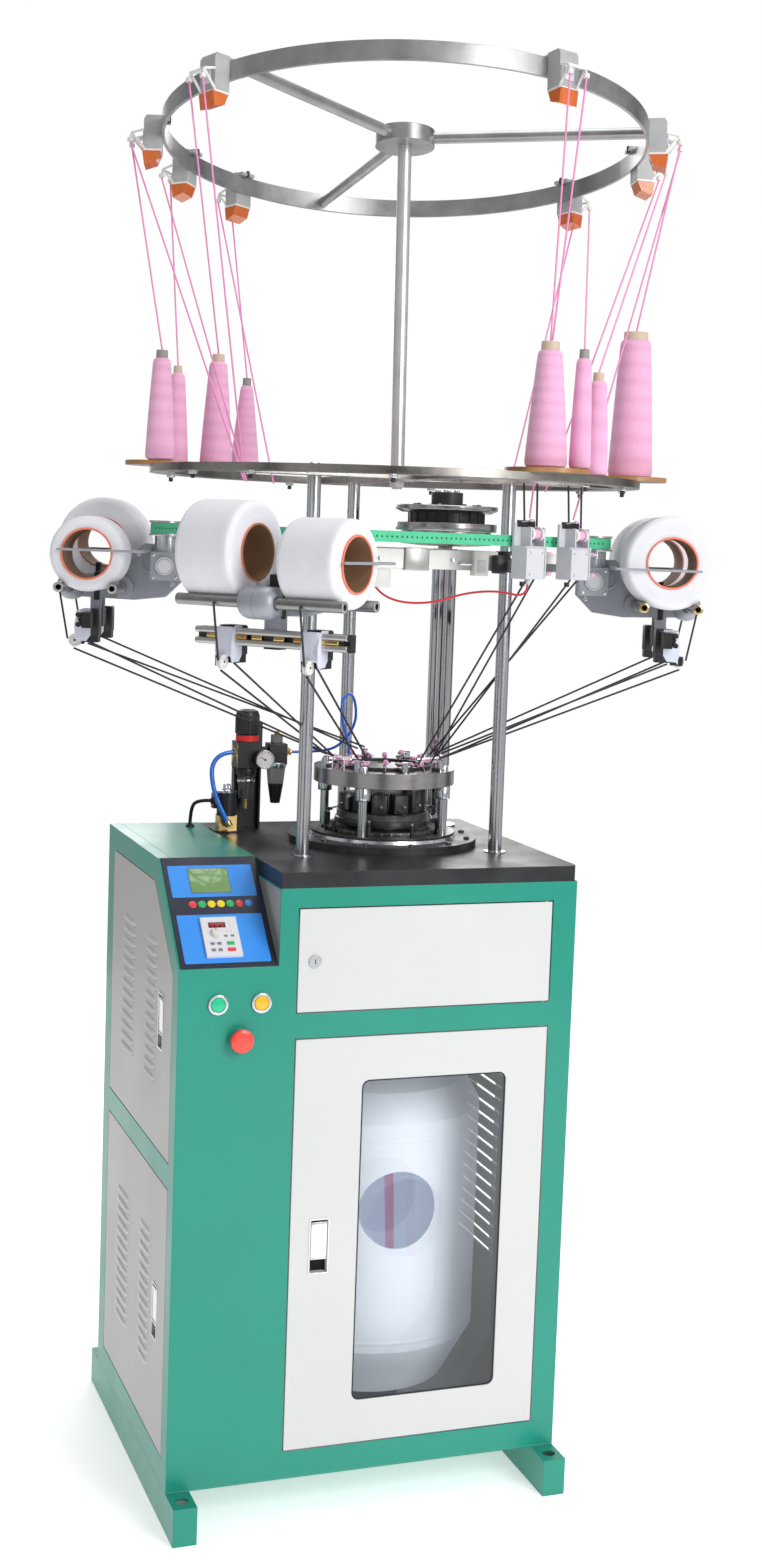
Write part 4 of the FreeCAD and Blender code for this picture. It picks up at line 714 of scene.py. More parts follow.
def loop_band(piece, outer, inner, depth, material, turn):
    """A frame between two outlines that have the same number of points."""
    shape = bmesh.new()
    rows = []
    for outline, height in ((outer, 0), (outer, depth), (inner, depth), (inner, 0)):
        rows.append([shape.verts.new((x, y, height)) for x, y in outline])
    for a, b in zip(rows, rows[1:]):
        for k in range(len(a)):
            n = (k + 1) % len(a)
            shape.faces.new((a[k], a[n], b[n], b[k]))
    piece.take(shape, material, turn)


def window_gasket():
    x0, x1, z0, z1 = WINDOW
    piece = Piece("window_gasket")
    front = turned("X", 90, (0, -HALF_D + 0.0021, 0))
    outer = rounded_outline(x0, x1, z0, z1, 0.012)
    inner = rounded_outline(x0 + 0.0022, x1 - 0.0022, z0 + 0.0022, z1 - 0.0022, 0.01)
    loop_band(piece, outer, inner, 0.0019, rubber_black, front)
    piece.done("front_lower_door", "cable_black")


LATCHES = {"front_latch": ("front_lower_door", shift(-0.086, -HALF_D, 0.412)),
           "side_upper_latch": ("left_upper_door", turned("Z", -90, (-HALF_W, -0.146, 0.739))),
           "side_lower_latch": ("left_lower_door", turned("Z", -90, (-HALF_W, -0.152, 0.298)))}


def latch_frames():
    for name, (door, place) in LATCHES.items():
        piece = Piece(name + "_frame", place)
        out = turned("X", 90)
        outer = rounded_outline(-0.0158, 0.0158, -0.0425, 0.0425, 0.003)
        inner = rounded_outline(-0.0136, 0.0136, -0.0402, 0.0402, 0.0015)
        loop_band(piece, outer, inner, 0.001, satin_chrome, out)
        # near-black back of the latch recess: painted shade
        piece.box(-0.0134, 0.0134, 0.0096, 0.0108, -0.0398, 0.0398, painted_hole_shade, bevel=0.0003)
        piece.done(door, "latch_chrome")
        lip = Piece(name + "_lip", place)
        lip.box(-0.0122, 0.0122, -0.0012, 0.0002, 0.0295, 0.0365, satin_chrome, bevel=0.0005)
        lip.box(-0.0122, 0.0122, -0.001, 0.0002, -0.0198, -0.0165, satin_chrome, bevel=0.0004)
        lip.done(name, "latch_chrome")


def louvre(piece, y0, y1, z):
    """A pressed hood that opens downward, on the left side of the cabinet, with its slot drawn as a
    near-black strip of painted shade.
    """
    wall = -HALF_W - 0.00005
    steps = 10
    hood, dark = [], []
    for step in range(steps + 1):
        s = step / steps
        y = y0 + (y1 - y0) * s
        swell = 0.0032 * min(1.0, 5 * s, 5 * (1 - s)) ** 0.6
        hood.append([(wall - swell * out, y, z + up)
                     for out, up in ((0.0, 0.0062), (0.55, 0.0046), (0.9, 0.0024), (1.0, 0.0))])
        dark.append([(wall - swell * 0.92, y, z + 0.0002), (-HALF_W - 0.0003, y, z - 0.0012)])
    piece.strip(hood, paint_door)
    piece.strip(dark, painted_hole_shade)


def louvres():
    rows, pitch = 13, 0.0171
    for door, z0 in (("left_upper_door", 0.64), ("left_lower_door", 0.196)):
        piece = Piece(door + "_louvres")
        for y0, y1 in ((-0.113, -0.042), (0.034, 0.122)):
            for row in range(rows):
                louvre(piece, y0, y1, z0 + pitch * row)
        piece.done(door, "door_paint")


def panel_films():
    piece = Piece("panel_film_areas", SLOPE)
    on_panel = shift(0, 0, 0.0019)
    for low, high in ((0.126, 0.184), (0.0085, 0.094)):
        piece.prism(rounded_outline(-0.2995, -0.171, low, high, 0.002), 0.0004, film_blue, on_panel, 0.0001)
    piece.box(-0.2705, -0.2085, 0.1325, 0.1785, 0.0021, 0.003, lcd_frame, bevel=0.0003)
    piece.box(-0.269, -0.21, 0.134, 0.177, 0.0024, 0.0034, lcd_glass, bevel=0.0003)
    for index, colour in enumerate(("red", "green", "yellow", "yellow", "green", "red", "blue")):
        piece.lathe([(0.0062, 0), (0.0061, 0.0007), (0.0052, 0.0012), (0.003, 0.0015), (0, 0.0016)],
                    KEY_COLOURS[colour], shift(-0.2715 + 0.0142 * index, 0.113, 0.0019), 28)
    piece.done("frame", "panel_film")


def keypad_digit(piece, x, y):
    """One digit of the display, drawn with five bars."""
    wide, high, line = 0.0036, 0.0058, 0.0005
    for dx, dy, width, height in ((0, 0, wide, line), (0, high / 2, wide, line), (0, high, wide, line),
                                  (0, 0, line, high), (wide, 0, line, high)):
        piece.box(x + dx, x + dx + width, y + dy, y + dy + height, KEYPAD_TOP + 0.0004, KEYPAD_TOP + 0.0007,
                  segment_red, bevel=0.0001)


def keypad():
    piece = Piece("keypad_details", SLOPE)
    top = KEYPAD_TOP
    piece.box(-0.256, -0.2305, 0.067, 0.0765, top, top + 0.0005, display_red, bevel=0.0002)
    for digit in range(3):
        keypad_digit(piece, -0.253 + 0.008 * digit, 0.0689)
    small = [(x, y, 0.0062, 0.0046, key_grey) for y in (0.039, 0.028) for x in (-0.255, -0.245)]
    flat = [(x, 0.052, 0.005, 0.0034, key_grey) for x in (-0.233, -0.223)]
    for x, y, width, height, material in [(-0.228, 0.039, 0.011, 0.0062, KEY_COLOURS["green"]),
                                          (-0.228, 0.028, 0.012, 0.0062, KEY_COLOURS["red"])] + small + flat:
        piece.box(x - width / 2, x + width / 2, y - height / 2, y + height / 2, top, top + 0.001, material,
                  bevel=0.0004)
    for x, y in ((-0.2245, 0.0745), (-0.2245, 0.0705), (-0.229, 0.0605), (-0.224, 0.0605)):
        piece.lathe([(0.0008, top), (0.0006, top + 0.0005), (0, top + 0.0006)], KEY_COLOURS["red"],
                    shift(x, y, 0), 12)
    piece.done("frame", "panel_film")


def keypad_knob():
    piece = Piece("keypad_knob_cap", SLOPE @ shift(-0.248, 0.056, 0))
    piece.lathe([(0.0064, 0.0074), (0.0065, 0.0082), (0.0063, 0.0128), (0.0054, 0.0138), (0, 0.0139)],
                key_cream, None, 24)
    piece.box(-0.0004, 0.0004, 0.0015, 0.0056, 0.0136, 0.0141, key_grey, bevel=0.0001)
    piece.done("keypad_knob", "knob_white", ("keypad_knob",))


def push_buttons():
    front = turned("X", 90)
    flat_cap = [(0.0106, -0.012), (0.0106, 0.004), (0.0103, 0.0045), (0.0098, 0.0046), (0.0094, 0.004),
                (0.006, 0.0043), (0, 0.0044)]
    mushroom = [(0.0078, -0.014), (0.0078, 0.0085), (0.012, 0.0095), (0.017, 0.01), (0.0175, 0.0108),
                (0.0175, 0.0155), (0.0168, 0.0172), (0.014, 0.0184), (0.007, 0.0189), (0, 0.019)]
    caps = {"start_button": (flat_cap, lens_green, "button_green", 48),
            "jog_button": (flat_cap, lens_yellow, "button_yellow", 48),
            "estop_button": (mushroom, lens_red, "button_red", 64)}
    for name, (profile, lens, slot, count) in caps.items():
        x, z = BUTTONS[name]
        piece = Piece(name + "_cap", shift(x, -HALF_D, z) @ front)
        piece.lathe(profile, lens, None, count)
        piece.done(name, slot, (name,))
    rings = Piece("button_bezels", front)
    for name, (x, z) in BUTTONS.items():
        inner = 0.0084 if name == "estop_button" else 0.0111
        rings.lathe([(0.0149, 0.0), (0.0149, 0.0022), (0.0143, 0.0034), (0.013, 0.0038),
                     (inner + 0.0004, 0.0036), (inner, 0.003), (inner, 0.0)],
                    satin_chrome, shift(x, z, HALF_D), 56)
    rings.done("frame", "latch_chrome")


def knitted_tube():
    """The finished tube of fabric hangs through the needle cylinder into the barrel."""
    guide = bpy.data.curves.new("fabric_route", "CURVE")
    guide.dimensions = "3D"
    guide.resolution_u = 16
    nurbs(guide, FABRIC_PATH)
    holder = linked("fabric_route", guide)
    bpy.context.view_layer.update()
    route = bpy.data.meshes.new_from_object(holder.evaluated_get(bpy.context.evaluated_depsgraph_get()))
    points = [v.co.copy() for v in route.vertices]
    bpy.data.objects.remove(holder)
    piece = Piece("knitted_tube")
    count = 40
    rows = []
    for index, at in enumerate(points):
        ahead = points[min(index + 1, len(points) - 1)] - points[max(index - 1, 0)]
        turn = ahead.to_track_quat("Z", "Y")
        row = []
        for k in range(count + 1):
            angle = 2 * math.pi * (k % count) / count
            crease = 0.0006 * math.cos(10 * angle) + 0.0009 * math.sin(3 * angle + index * 0.11)
            radius = 0.0068 + crease
            row.append(at + turn @ Vector((radius * math.cos(angle), radius * math.sin(angle), 0)))
        rows.append(row)
    piece.strip(rows, knit_pink)
    piece.done("frame", "knit_pink", ("fabric_tube",))


def barrel_details():
    piece = Piece("barrel_seams", Matrix.Translation(HEAD))
    for z in (0.53, 0.205):
        piece.lathe([(0.1748, z - 0.004), (0.1757, z - 0.002), (0.176, z), (0.1757, z + 0.002),
                     (0.1748, z + 0.004)], barrel_plastic_painted_glow, None, 128)
    piece.done("fabric_barrel", "barrel_paint")


def foot_bolts():
    piece = Piece("floor_bolts")
    for x, y in ((-0.292, -0.275), (-0.292, 0.275), (0.292, -0.275), (0.292, 0.275)):
        at = shift(x, y, 0.006)
        piece.lathe([(0.0096, 0), (0.0096, 0.0016), (0.006, 0.0018)], satin_chrome, at, 32)
        piece.lathe([(0.0085, 0.0016), (0.0085, 0.0075), (0.0078, 0.0082), (0, 0.0082)], satin_chrome, at, 6)
    piece.done("frame", "latch_chrome")


# ---- knitting head -----------------------------------------------------------------------------------
def needle_bed():
    piece = Piece("needles", Matrix.Translation(HEAD))
    for turn in ring_of(96):
        piece.box(0.0438, 0.0462, -0.0005, 0.0005, 1.01, 1.0925, polished, turn, 0.0001)
        piece.box(0.0438, 0.0475, -0.0005, 0.0005, 1.0115, 1.015, polished, turn, 0.0001)
    piece.lathe([(0.047, 1.0045), (0.0475, 1.005), (0.0475, 1.009), (0.047, 1.0095), (0.044, 1.0095)],
                machined, None, 96)
    for turn in ring_of(36):
        piece.box(0.0865, 0.089, -0.0022, 0.0022, 0.9895, 1.0005, oily_steel, turn, 0.0004)
    piece.done("needle_cylinder", "ring_steel")


def cam_blocks():
    """Cam housings and their adjusting screws around the needle cylinder."""
    piece = Piece("cam_housing", Matrix.Translation(HEAD))
    piece.lathe([(0.056, 1.006), (0.076, 1.006), (0.077, 1.0075), (0.077, 1.015), (0.074, 1.0165),
                 (0.074, 1.026), (0.0725, 1.0275), (0.056, 1.0275)], oily_steel, None, 96)
    random.seed(7)
    for k, turn in enumerate(ring_of(12, 6)):
        high = 1.05 + 0.014 * random.random()
        depth = 0.066 + 0.008 * random.random()
        piece.box(0.052, depth, -0.012, 0.012, 1.028, high, dark_iron if k % 2 else oily_steel, turn, 0.0012)
        piece.rod((depth - 0.001, 0.004, 1.04), (depth + 0.004, 0.004, 1.04), 0.0022, polished, turn)
        if k % 3 == 0:
            piece.rod((depth, -0.006, 1.034), (depth + 0.016, -0.006, 1.03), 0.0016, polished, turn)
            piece.disc(0.0045, 0, 0.004, black_plastic,
                       turn @ shift(depth + 0.018, -0.006, 1.0275))
    for k, turn in enumerate(ring_of(8, 12)):
        piece.rod((0.09, 0, 0.992), (0.09, 0, 1.0125 + 0.004 * (k % 2)), 0.0032, dark_iron, turn)
        piece.rod((0.09, 0, 1.012), (0.09, 0, 1.016 + 0.004 * (k % 2)), 0.0024, polished, turn)
    piece.lathe([(0.098, 0.9915), (0.116, 0.9915), (0.1165, 0.9925), (0.1165, 0.996), (0.0985, 0.996),
                 (0.098, 0.995)], oily_steel, None, 96)
    for turn in ring_of(12):
        piece.lathe([(0.0048, 0.9868), (0.0048, 0.99), (0.004, 0.9908), (0.0024, 0.9908), (0.0024, 0.9892),
                     (0, 0.9892)], oily_steel, turn @ shift(0.138, 0, 0), 24)
    piece.done("frame", "head_black")


def head_studs():
    piece = Piece("ring_studs", Matrix.Translation(HEAD))
    for turn in ring_of(4, -38):
        at = turn @ shift(0.1, 0, 0)
        piece.lathe([(0.0068, RING_TOP), (0.0068, RING_TOP + 0.0045), (0.0055, RING_TOP + 0.007),
                     (0.003, RING_TOP + 0.0078), (0, RING_TOP + 0.008)], polished, at, 32)
        piece.lathe([(0.0112, 1.0515), (0.0116, 1.053), (0.0116, 1.0722), (0.011, 1.073)], polished, at, 40)
        piece.lathe([(0.0105, 0.987), (0.0105, 0.99), (0.0085, 0.992), (0.0072, 0.995)], polished, at, 40)
    piece.done("frame", "post_chrome")


def yarn_carriers():
    """Pink ceramic eyes on bent wires that stand on the ring and point at the needles."""
    piece = Piece("yarn_carriers", Matrix.Translation(HEAD))
    base = RING_TOP
    for index, heading in enumerate(CARRIERS):
        turn = turned("Z", heading)
        if index % 2 == 0:
            piece.box(0.086, 0.1, -0.0065, 0.0065, base, base + 0.005, dark_iron, turn, 0.0008)
            piece.lathe([(0.0046, base + 0.005), (0.0046, base + 0.0075), (0.0038, base + 0.0085),
                         (0, base + 0.0085)], polished, turn @ shift(0.093, 0, 0), 6)
        high = base + 0.0085 + 0.003 * (index % 3)
        piece.rod((0.094, 0.003, base + 0.001), (0.086, 0.003, high), 0.0009, polished, turn)
        piece.rod((0.086, 0.003, high), (0.06, 0.001, base + 0.0085), 0.0009, polished, turn)
        eye = turn @ turned("Y", 75, (0.086 - 0.004 * (index % 3), 0.003, high))
        piece.lathe([(0.0014, -0.005), (0.0036, -0.0046), (0.0042, -0.0025), (0.0028, 0.0), (0.0042, 0.0025),
                     (0.0036, 0.0046), (0.0014, 0.005), (0.0014, -0.005)], pink_part, eye, 24)
        tip = turn @ turned("Y", 100, (0.064, 0.001, base + 0.009))
        piece.lathe([(0.001, -0.006), (0.003, -0.005), (0.0034, 0.001), (0.0016, 0.007), (0.001, 0.007)],
                    pink_part, tip, 18)
    band = ((0.064, 0.0002), (0.0745, 0.0002), (0.0745, 0.0042), (0.0735, 0.005), (0.065, 0.005),
            (0.064, 0.0042), (0.064, 0.0002))
    piece.lathe([(r, base + up) for r, up in band], dark_iron, None, 96)
    for heading in (200, 214):
        turn = turned("Z", heading)
        bend = (0.106, 0, base + 0.019)
        piece.rod((0.106, 0, base), bend, 0.001, white_plastic, turn)
        piece.rod(bend, (0.08, 0.014, base + 0.019), 0.001, white_plastic, turn)
    piece.done("frame", "ring_steel")


# ---- feed drive --------------------------------------------------------------------------------------
def belt_runs():
    """The straight runs of the feed belt, counter-clockwise: (start, end, outward direction) of each."""
    def pulley(name):
        return arm_place(name) @ Vector((ARM_PULLEY[0], ARM_PULLEY[1] * ARMS[name][2], 0)), ARM_PULLEY_R
    wheels = [pulley("front"), pulley("right"), (COLUMN, FEED_WHEEL_R), pulley("left")]
    runs = []
    for (c0, r0), (c1, r1) in zip(wheels, wheels[1:] + wheels[:1]):
        line = c1 - c0
        heading = math.atan2(line.y, line.x) - math.pi / 2 + math.asin((r0 - r1) / line.length)
        out = Vector((math.cos(heading), math.sin(heading), 0))
        runs.append((c0 + out * (r0 + BELT_OUT), c1 + out * (r1 + BELT_OUT), out))
    return runs


def belt_holes():
    piece = Piece("belt_holes")
    pitch = 0.0095
    for start, end, out in belt_runs():
        count = int((end - start).length / pitch)
        for k in range(1, count):
            at = start.lerp(end, k / count) + Vector((0, 0, BELT_Z))
            # each hole is a near-black disc: painted shade
            piece.lathe([(0.0015, -0.0001), (0.0015, 0.00012), (0, 0.00014)], painted_hole_shade, facing(out, at), 12)
    piece.done("frame", "belt_green")


def feed_wheel_details():
    piece = Piece("feed_wheel_cap", Matrix.Translation(COLUMN))
    piece.lathe([(0.07, 1.4771), (0.084, 1.4771), (0.0846, 1.479), (0.0846, 1.4885), (0.0838, 1.4902),
                 (0.065, 1.4902)], machined, None, 96)
    piece.lathe([(0.064, 1.5068), (0.074, 1.507), (0.0852, 1.5118), (0.0856, 1.513), (0.0856, 1.518),
                 (0.0846, 1.5192), (0.026, 1.5194)], machined, None, 96)
    piece.lathe([(0.0264, 1.519), (0.0266, 1.54), (0.0255, 1.5414), (0.011, 1.5414)], dark_iron, None, 48)
    for turn in ring_of(6):
        at = turn @ shift(0.0185, 0, 0)
        piece.lathe([(0.0036, 1.5412), (0.0036, 1.5446), (0.003, 1.5452), (0.0017, 1.5452), (0.0017, 1.543),
                     (0, 1.543)], satin_chrome, at, 20)
    for turn in ring_of(20):
        piece.box(0.0622, 0.0645, -0.0022, 0.0022, 1.4905, 1.5068, black_plastic, turn, 0.0004)
    for turn in ring_of(8, 10):
        at = turn @ shift(0.054, 0, 0)
        piece.lathe([(0.0042, 1.5192), (0.0042, 1.5215), (0.0036, 1.5222), (0, 1.5222)], oily_steel, at, 6)
    piece.done("feed_wheel", "pulley_metal")


def feed_unit_guides(index, unit):
    piece = Piece("feeder_%d_guides" % index, turned("Z", BELT_HEADING, unit))
    piece.box(0.0085, 0.011, -0.0165, 0.0125, 1.411, 1.456, unit_grey, bevel=0.0004)
    for z in (1.417, 1.448):
        piece.box(0.0108, 0.0165, -0.019, -0.015, z - 0.0025, z + 0.0025, white_plastic, bevel=0.0008)
        piece.lathe(eye(0.0012, 0.0034, 0.0018), pink_part, shift(0.0135, -0.0205, z), 18)
    piece.box(-0.025, 0.012, 0.01, 0.0135, 1.486, 1.496, black_plastic, bevel=0.001)
    piece.rod((-0.02, 0.01, 1.493), (-0.02, -0.012, 1.496), 0.001, polished)
    piece.lathe([(0.0012, -0.002), (0.0034, -0.0018), (0.0038, 0), (0.0034, 0.0018), (0.0012, 0.002)],
                pink_part, shift(-0.02, -0.013, 1.496), 18)
    piece.lathe([(0.004, -0.004), (0.004, -0.01), (0.003, -0.011), (0, -0.011)], black_plastic,
                shift(-0.022, 0, 1.409), 20)
    for x, z in ((-0.024, 1.448), (0.002, 1.448), (-0.024, 1.416)):
        piece.lathe([(0.002, 0), (0.002, 0.0007), (0.0014, 0.0011), (0, 0.0011)], satin_chrome,
                    turned("X", 90, (x, -0.0149, z)), 16)
    piece.done("frame", "wheel_grey")


def feed_unit_yarn(index, unit):
    place = turned("Z", BELT_HEADING, (unit.x, unit.y, FEED_AXIS_Z)) @ turned("Y", 90)
    wheel = Piece("feeder_wheel_%d_yarn" % index, place)
    wheel.lathe([(0.0056, -0.0079), (0.0068, -0.007), (0.0074, -0.003), (0.0072, 0.003), (0.0068, 0.007),
                 (0.0056, 0.0079)], yarn_pink, None, 40)
    for way in (1, -1):
        wheel.lathe([(r, way * z) for r, z in ((0.0105, 0.0109), (0.0098, 0.012), (0.006, 0.0123),
                                               (0.0045, 0.0115), (0.0026, 0.0116))], white_plastic, None, 40)
    wheel.done("feeder_wheel_%d" % index, "wheel_grey")


def feed_unit_details():
    for index, unit in enumerate(FEED_UNITS, 1):
        feed_unit_guides(index, unit)
        feed_unit_yarn(index, unit)


def frame_details():
    """Clamp blocks, sensors and screws on the bars that join the posts."""
    piece = Piece("frame_fittings")
    for x, y in POSTS:
        at = shift(x, y, 0)
        piece.lathe([(0.0108, 1.4155), (0.0172, 1.416), (0.0176, 1.4175), (0.0176, 1.4465), (0.017, 1.448),
                     (0.0108, 1.4485)], dark_iron if x > 0.2 else frame_alloy, at, 48)
        for z in (1.424, 1.44):
            piece.rod((x, y - 0.017, z), (x, y - 0.0215, z), 0.0032, satin_chrome)
    piece.box(0.172, 0.196, -0.12, -0.1005, 1.409, 1.447, white_plastic, bevel=0.002)
    piece.box(0.177, 0.191, -0.1212, -0.1195, 1.4135, 1.433, unit_grey, bevel=0.001)
    piece.rod((0.15, -0.1115, 1.427), (0.171, -0.1115, 1.427), 0.003, polished)
    piece.box(0.06, 0.1, -0.1145, -0.099, 1.4145, 1.4495, frame_alloy, bevel=0.002)
    piece.box(0.205, 0.222, -0.1255, -0.108, 1.4135, 1.442, black_plastic, bevel=0.0016)
    piece.box(0.006, 0.034, -0.126, -0.111, 1.388, 1.416, white_plastic, bevel=0.0016)
    for x in (-0.04, 0.022, 0.082, 0.14):
        piece.rod((x, -0.1095, 1.432), (x, -0.1135, 1.432), 0.0035, satin_chrome)
    piece.done("frame", "frame_grey")


# ---- spool arms --------------------------------------------------------------------------------------
def spool_profile(radius, half):
    """From the bore edge over the rounded outside and back; slightly barrelled, with soft shoulders."""
    line = [(SPOOL_BORE, -half), (0.048, -half - 0.0004)]
    corner = 0.009
    for step in range(7):
        turn = math.radians(-90 + 15 * step)
        line.append((radius - corner + corner * math.cos(turn), -half + corner + corner * math.sin(turn)))
    for step in range(1, 12):
        z = (-half + corner) + (2 * half - 2 * corner) * step / 12
        line.append((radius - 0.0002 + 0.0002 * math.sin(math.pi * step / 12), z))
    for step in range(7):
        turn = math.radians(15 * step)
        line.append((radius - corner + corner * math.cos(turn), half - corner + corner * math.sin(turn)))
    line += [(0.048, half + 0.0004), (SPOOL_BORE, half)]
    return line


def spools():
    for name, (_, _, side, radii) in ARMS.items():
        for place, end, radius in (("near", side, radii[0]), ("far", -side, radii[1])):
            z = ROLLER_Z + math.sqrt((radius + ROLLER_R) ** 2 - ROLLER_U ** 2)
            node = name + "_spools" if radii[0] == radii[1] else name + "_spool_" + place
            matrix = arm_place(name) @ turned("X", -90 * end, (0, end * SPOOL_T, z))
            yarn = Piece(name + "_yarn_" + place, matrix)
            yarn.lathe(spool_profile(radius, SPOOL_HALF), yarn_white, None, 112)
            yarn.done(node, "yarn_white", (node,))
            card = Piece(name + "_card_tube_" + place, matrix)
            card.lathe([(0.0394, -0.0484), (0.0371, -0.0484), (0.0371, 0.047)], card_tube, None, 72)
            card.lathe([(0.0371, 0.047), (0.0371, 0.0484), (0.0394, 0.0486), (0.0399, 0.048),
                        (0.0399, 0.0462)], card_rim, None, 72)
            card.lathe([(0.0399, -0.0462), (0.0399, -0.0484), (0.0394, -0.0484)], card_rim, None, 72)
            card.done(node, "yarn_white")


def arm_bosses(piece, t, out):
    """Screws and round bosses on one face of an arm's plate."""
    for u, z in ((-0.066, 1.4235), (-0.052, 1.362), (0.03, 1.358), (-0.12, 1.378)):
        piece.lathe([(0.0042, 0), (0.0042, 0.0012), (0.0034, 0.0019), (0.0018, 0.0019), (0.0018, 0.0008),
                     (0, 0.0008)], satin_chrome, shift(u, t, z) @ out, 24)
    piece.lathe([(0.015, 0.0), (0.015, 0.0014), (0.014, 0.002), (0.0118, 0.002), (0.0112, 0.001),
                 (0, 0.001)], cast_grey, shift(-0.086, t, 1.408) @ out, 40)
    piece.lathe([(0.0174, 0.0), (0.0174, 0.009), (0.0166, 0.0098), (0.012, 0.0098), (0.0112, 0.009),
                 (0.0088, 0.009)], cast_grey, shift(-ROLLER_U, t, ROLLER_Z) @ out, 48)
    piece.lathe([(0.0225, -0.0128), (0.0228, -0.005), (0.0222, 0.003), (0.0205, 0.008), (0.018, 0.0115),
                 (0.015, 0.014), (0.0128, 0.0152), (0.01, 0.0156), (0.0088, 0.015), (0.0088, 0.001)],
                cast_grey, shift(ROLLER_U, t, ROLLER_Z) @ out, 56)


def gearbox_cap(piece, side):
    out = turned("X", -90 * side)
    piece.lathe([(0.0142, -0.001), (0.0142, 0.0), (0.0136, 0.0006), (0.0122, 0.0006), (0.0118, -0.0004),
                 (0.0112, -0.0004), (0.0106, 0.0006), (0, 0.0008)], unit_grey,
                shift(ARM_PULLEY[0], side * 0.061, 1.406) @ out, 56)
    for u in (-0.0175, 0.0175):
        for z in (1.388, 1.423):
            piece.lathe([(0.0024, 0), (0.0024, 0.001), (0.0018, 0.0014), (0, 0.0014)], satin_chrome,
                        shift(ARM_PULLEY[0] + u, side * 0.058, z) @ out, 16)


def thread_rail(piece):
    """Two bars under the rollers with their spacers, and the hanger that carries them."""
    piece.box(-0.0045, 0.0045, -0.0142, 0.0142, 1.348, 1.3925, black_plastic, bevel=0.001)
    piece.box(-0.0035, 0.0035, -0.01, 0.01, 1.392, 1.408, black_plastic, bevel=0.001)
    for t, metal in ((-0.105, brass), (-0.078, brass), (-0.056, copper_brass), (-0.03, brass),
                     (0.006, brass), (0.038, copper_brass), (0.078, brass), (0.093, brass)):
        piece.rod((0.0115, t, 1.3205), (0.0115, t + 0.017, 1.3205), 0.0034, metal)
    for z in (1.313, 1.328):
        piece.rod((0.0115, -0.1235, z), (0.0115, 0.1235, z), 0.0044, frame_alloy, count=24)


def wheel_housing(piece, t):
    ear = [(0.0, 0.0), (0.015, -0.001), (0.0185, 0.006), (0.0195, 0.026), (0.016, 0.044),
           (0.008, 0.05), (-0.006, 0.05), (-0.01, 0.042), (-0.008, 0.012)]
    for dt in (-0.0138, 0.0118):
        piece.prism(ear, 0.002, lilac_plastic, turned("X", 90, (0.004, t + dt + 0.002, WHEEL_Z)), 0.0005)
    piece.box(0.0165, 0.0212, t - 0.0125, t + 0.0125, 1.293, 1.334, lilac_plastic, bevel=0.001)
    piece.box(-0.015, -0.002, t - 0.015, t + 0.015, 1.295, 1.335, black_plastic, bevel=0.0015)
    piece.box(0.02, 0.0222, t - 0.009, t - 0.0045, 1.282, 1.296, white_plastic, bevel=0.0008)


def arm_fittings(name):
    piece = Piece(name + "_arm_fittings", arm_place(name))
    for t, degrees in ((-0.013, 90), (0.013, -90)):
        arm_bosses(piece, t, turned("X", degrees))
    gearbox_cap(piece, ARMS[name][2])
    thread_rail(piece)
    for t in (-WHEEL_T, WHEEL_T):
        wheel_housing(piece, t)
    piece.done("frame", "arm_grey")


def roller_ends(name, place, u):
    piece = Piece(name + "_roller_ends_" + place, arm_place(name) @ turned("X", -90, (u, 0, ROLLER_Z)))
    metal = brass if name == "right" else frame_alloy
    for way in (-1, 1):
        piece.lathe([(r, way * z) for r, z in ((0.008, 0.1335), (0.0078, 0.1348), (0.007, 0.1354),
                                               (0.0048, 0.1354), (0.0043, 0.1348), (0.0042, 0.1245))],
                    metal, None, 36)
        # near-black disc in the bore: painted shade
        piece.lathe([(0.0042, way * 0.1245), (0, way * 0.1245)], painted_hole_shade, None, 36)
    piece.done(name + "_roller_" + place, "roller_steel")


def wheel_hubs(name):
    piece = Piece(name + "_wheel_hubs", arm_place(name) @ turned("X", -90, (WHEEL_U, 0, WHEEL_Z)))
    for t in (-WHEEL_T, WHEEL_T):
        for z, way in ((t - 0.0035, -1), (t + 0.0025, 1)):
            piece.lathe([(r, z + way * up) for r, up in ((0.0098, -0.0002), (0.0096, 0.0008), (0.008, 0.001),
                                                         (0.007, 0.0002), (0.004, 0.0003), (0.0036, 0.0012),
                                                         (0.0018, 0.0012))], white_plastic, None, 36)
    piece.done(name + "_guide_wheels", "wheel_grey")


def arm_details():
    for name in ARMS:
        arm_fittings(name)
        roller_ends(name, "inner", -ROLLER_U)
        roller_ends(name, "outer", ROLLER_U)
        wheel_hubs(name)


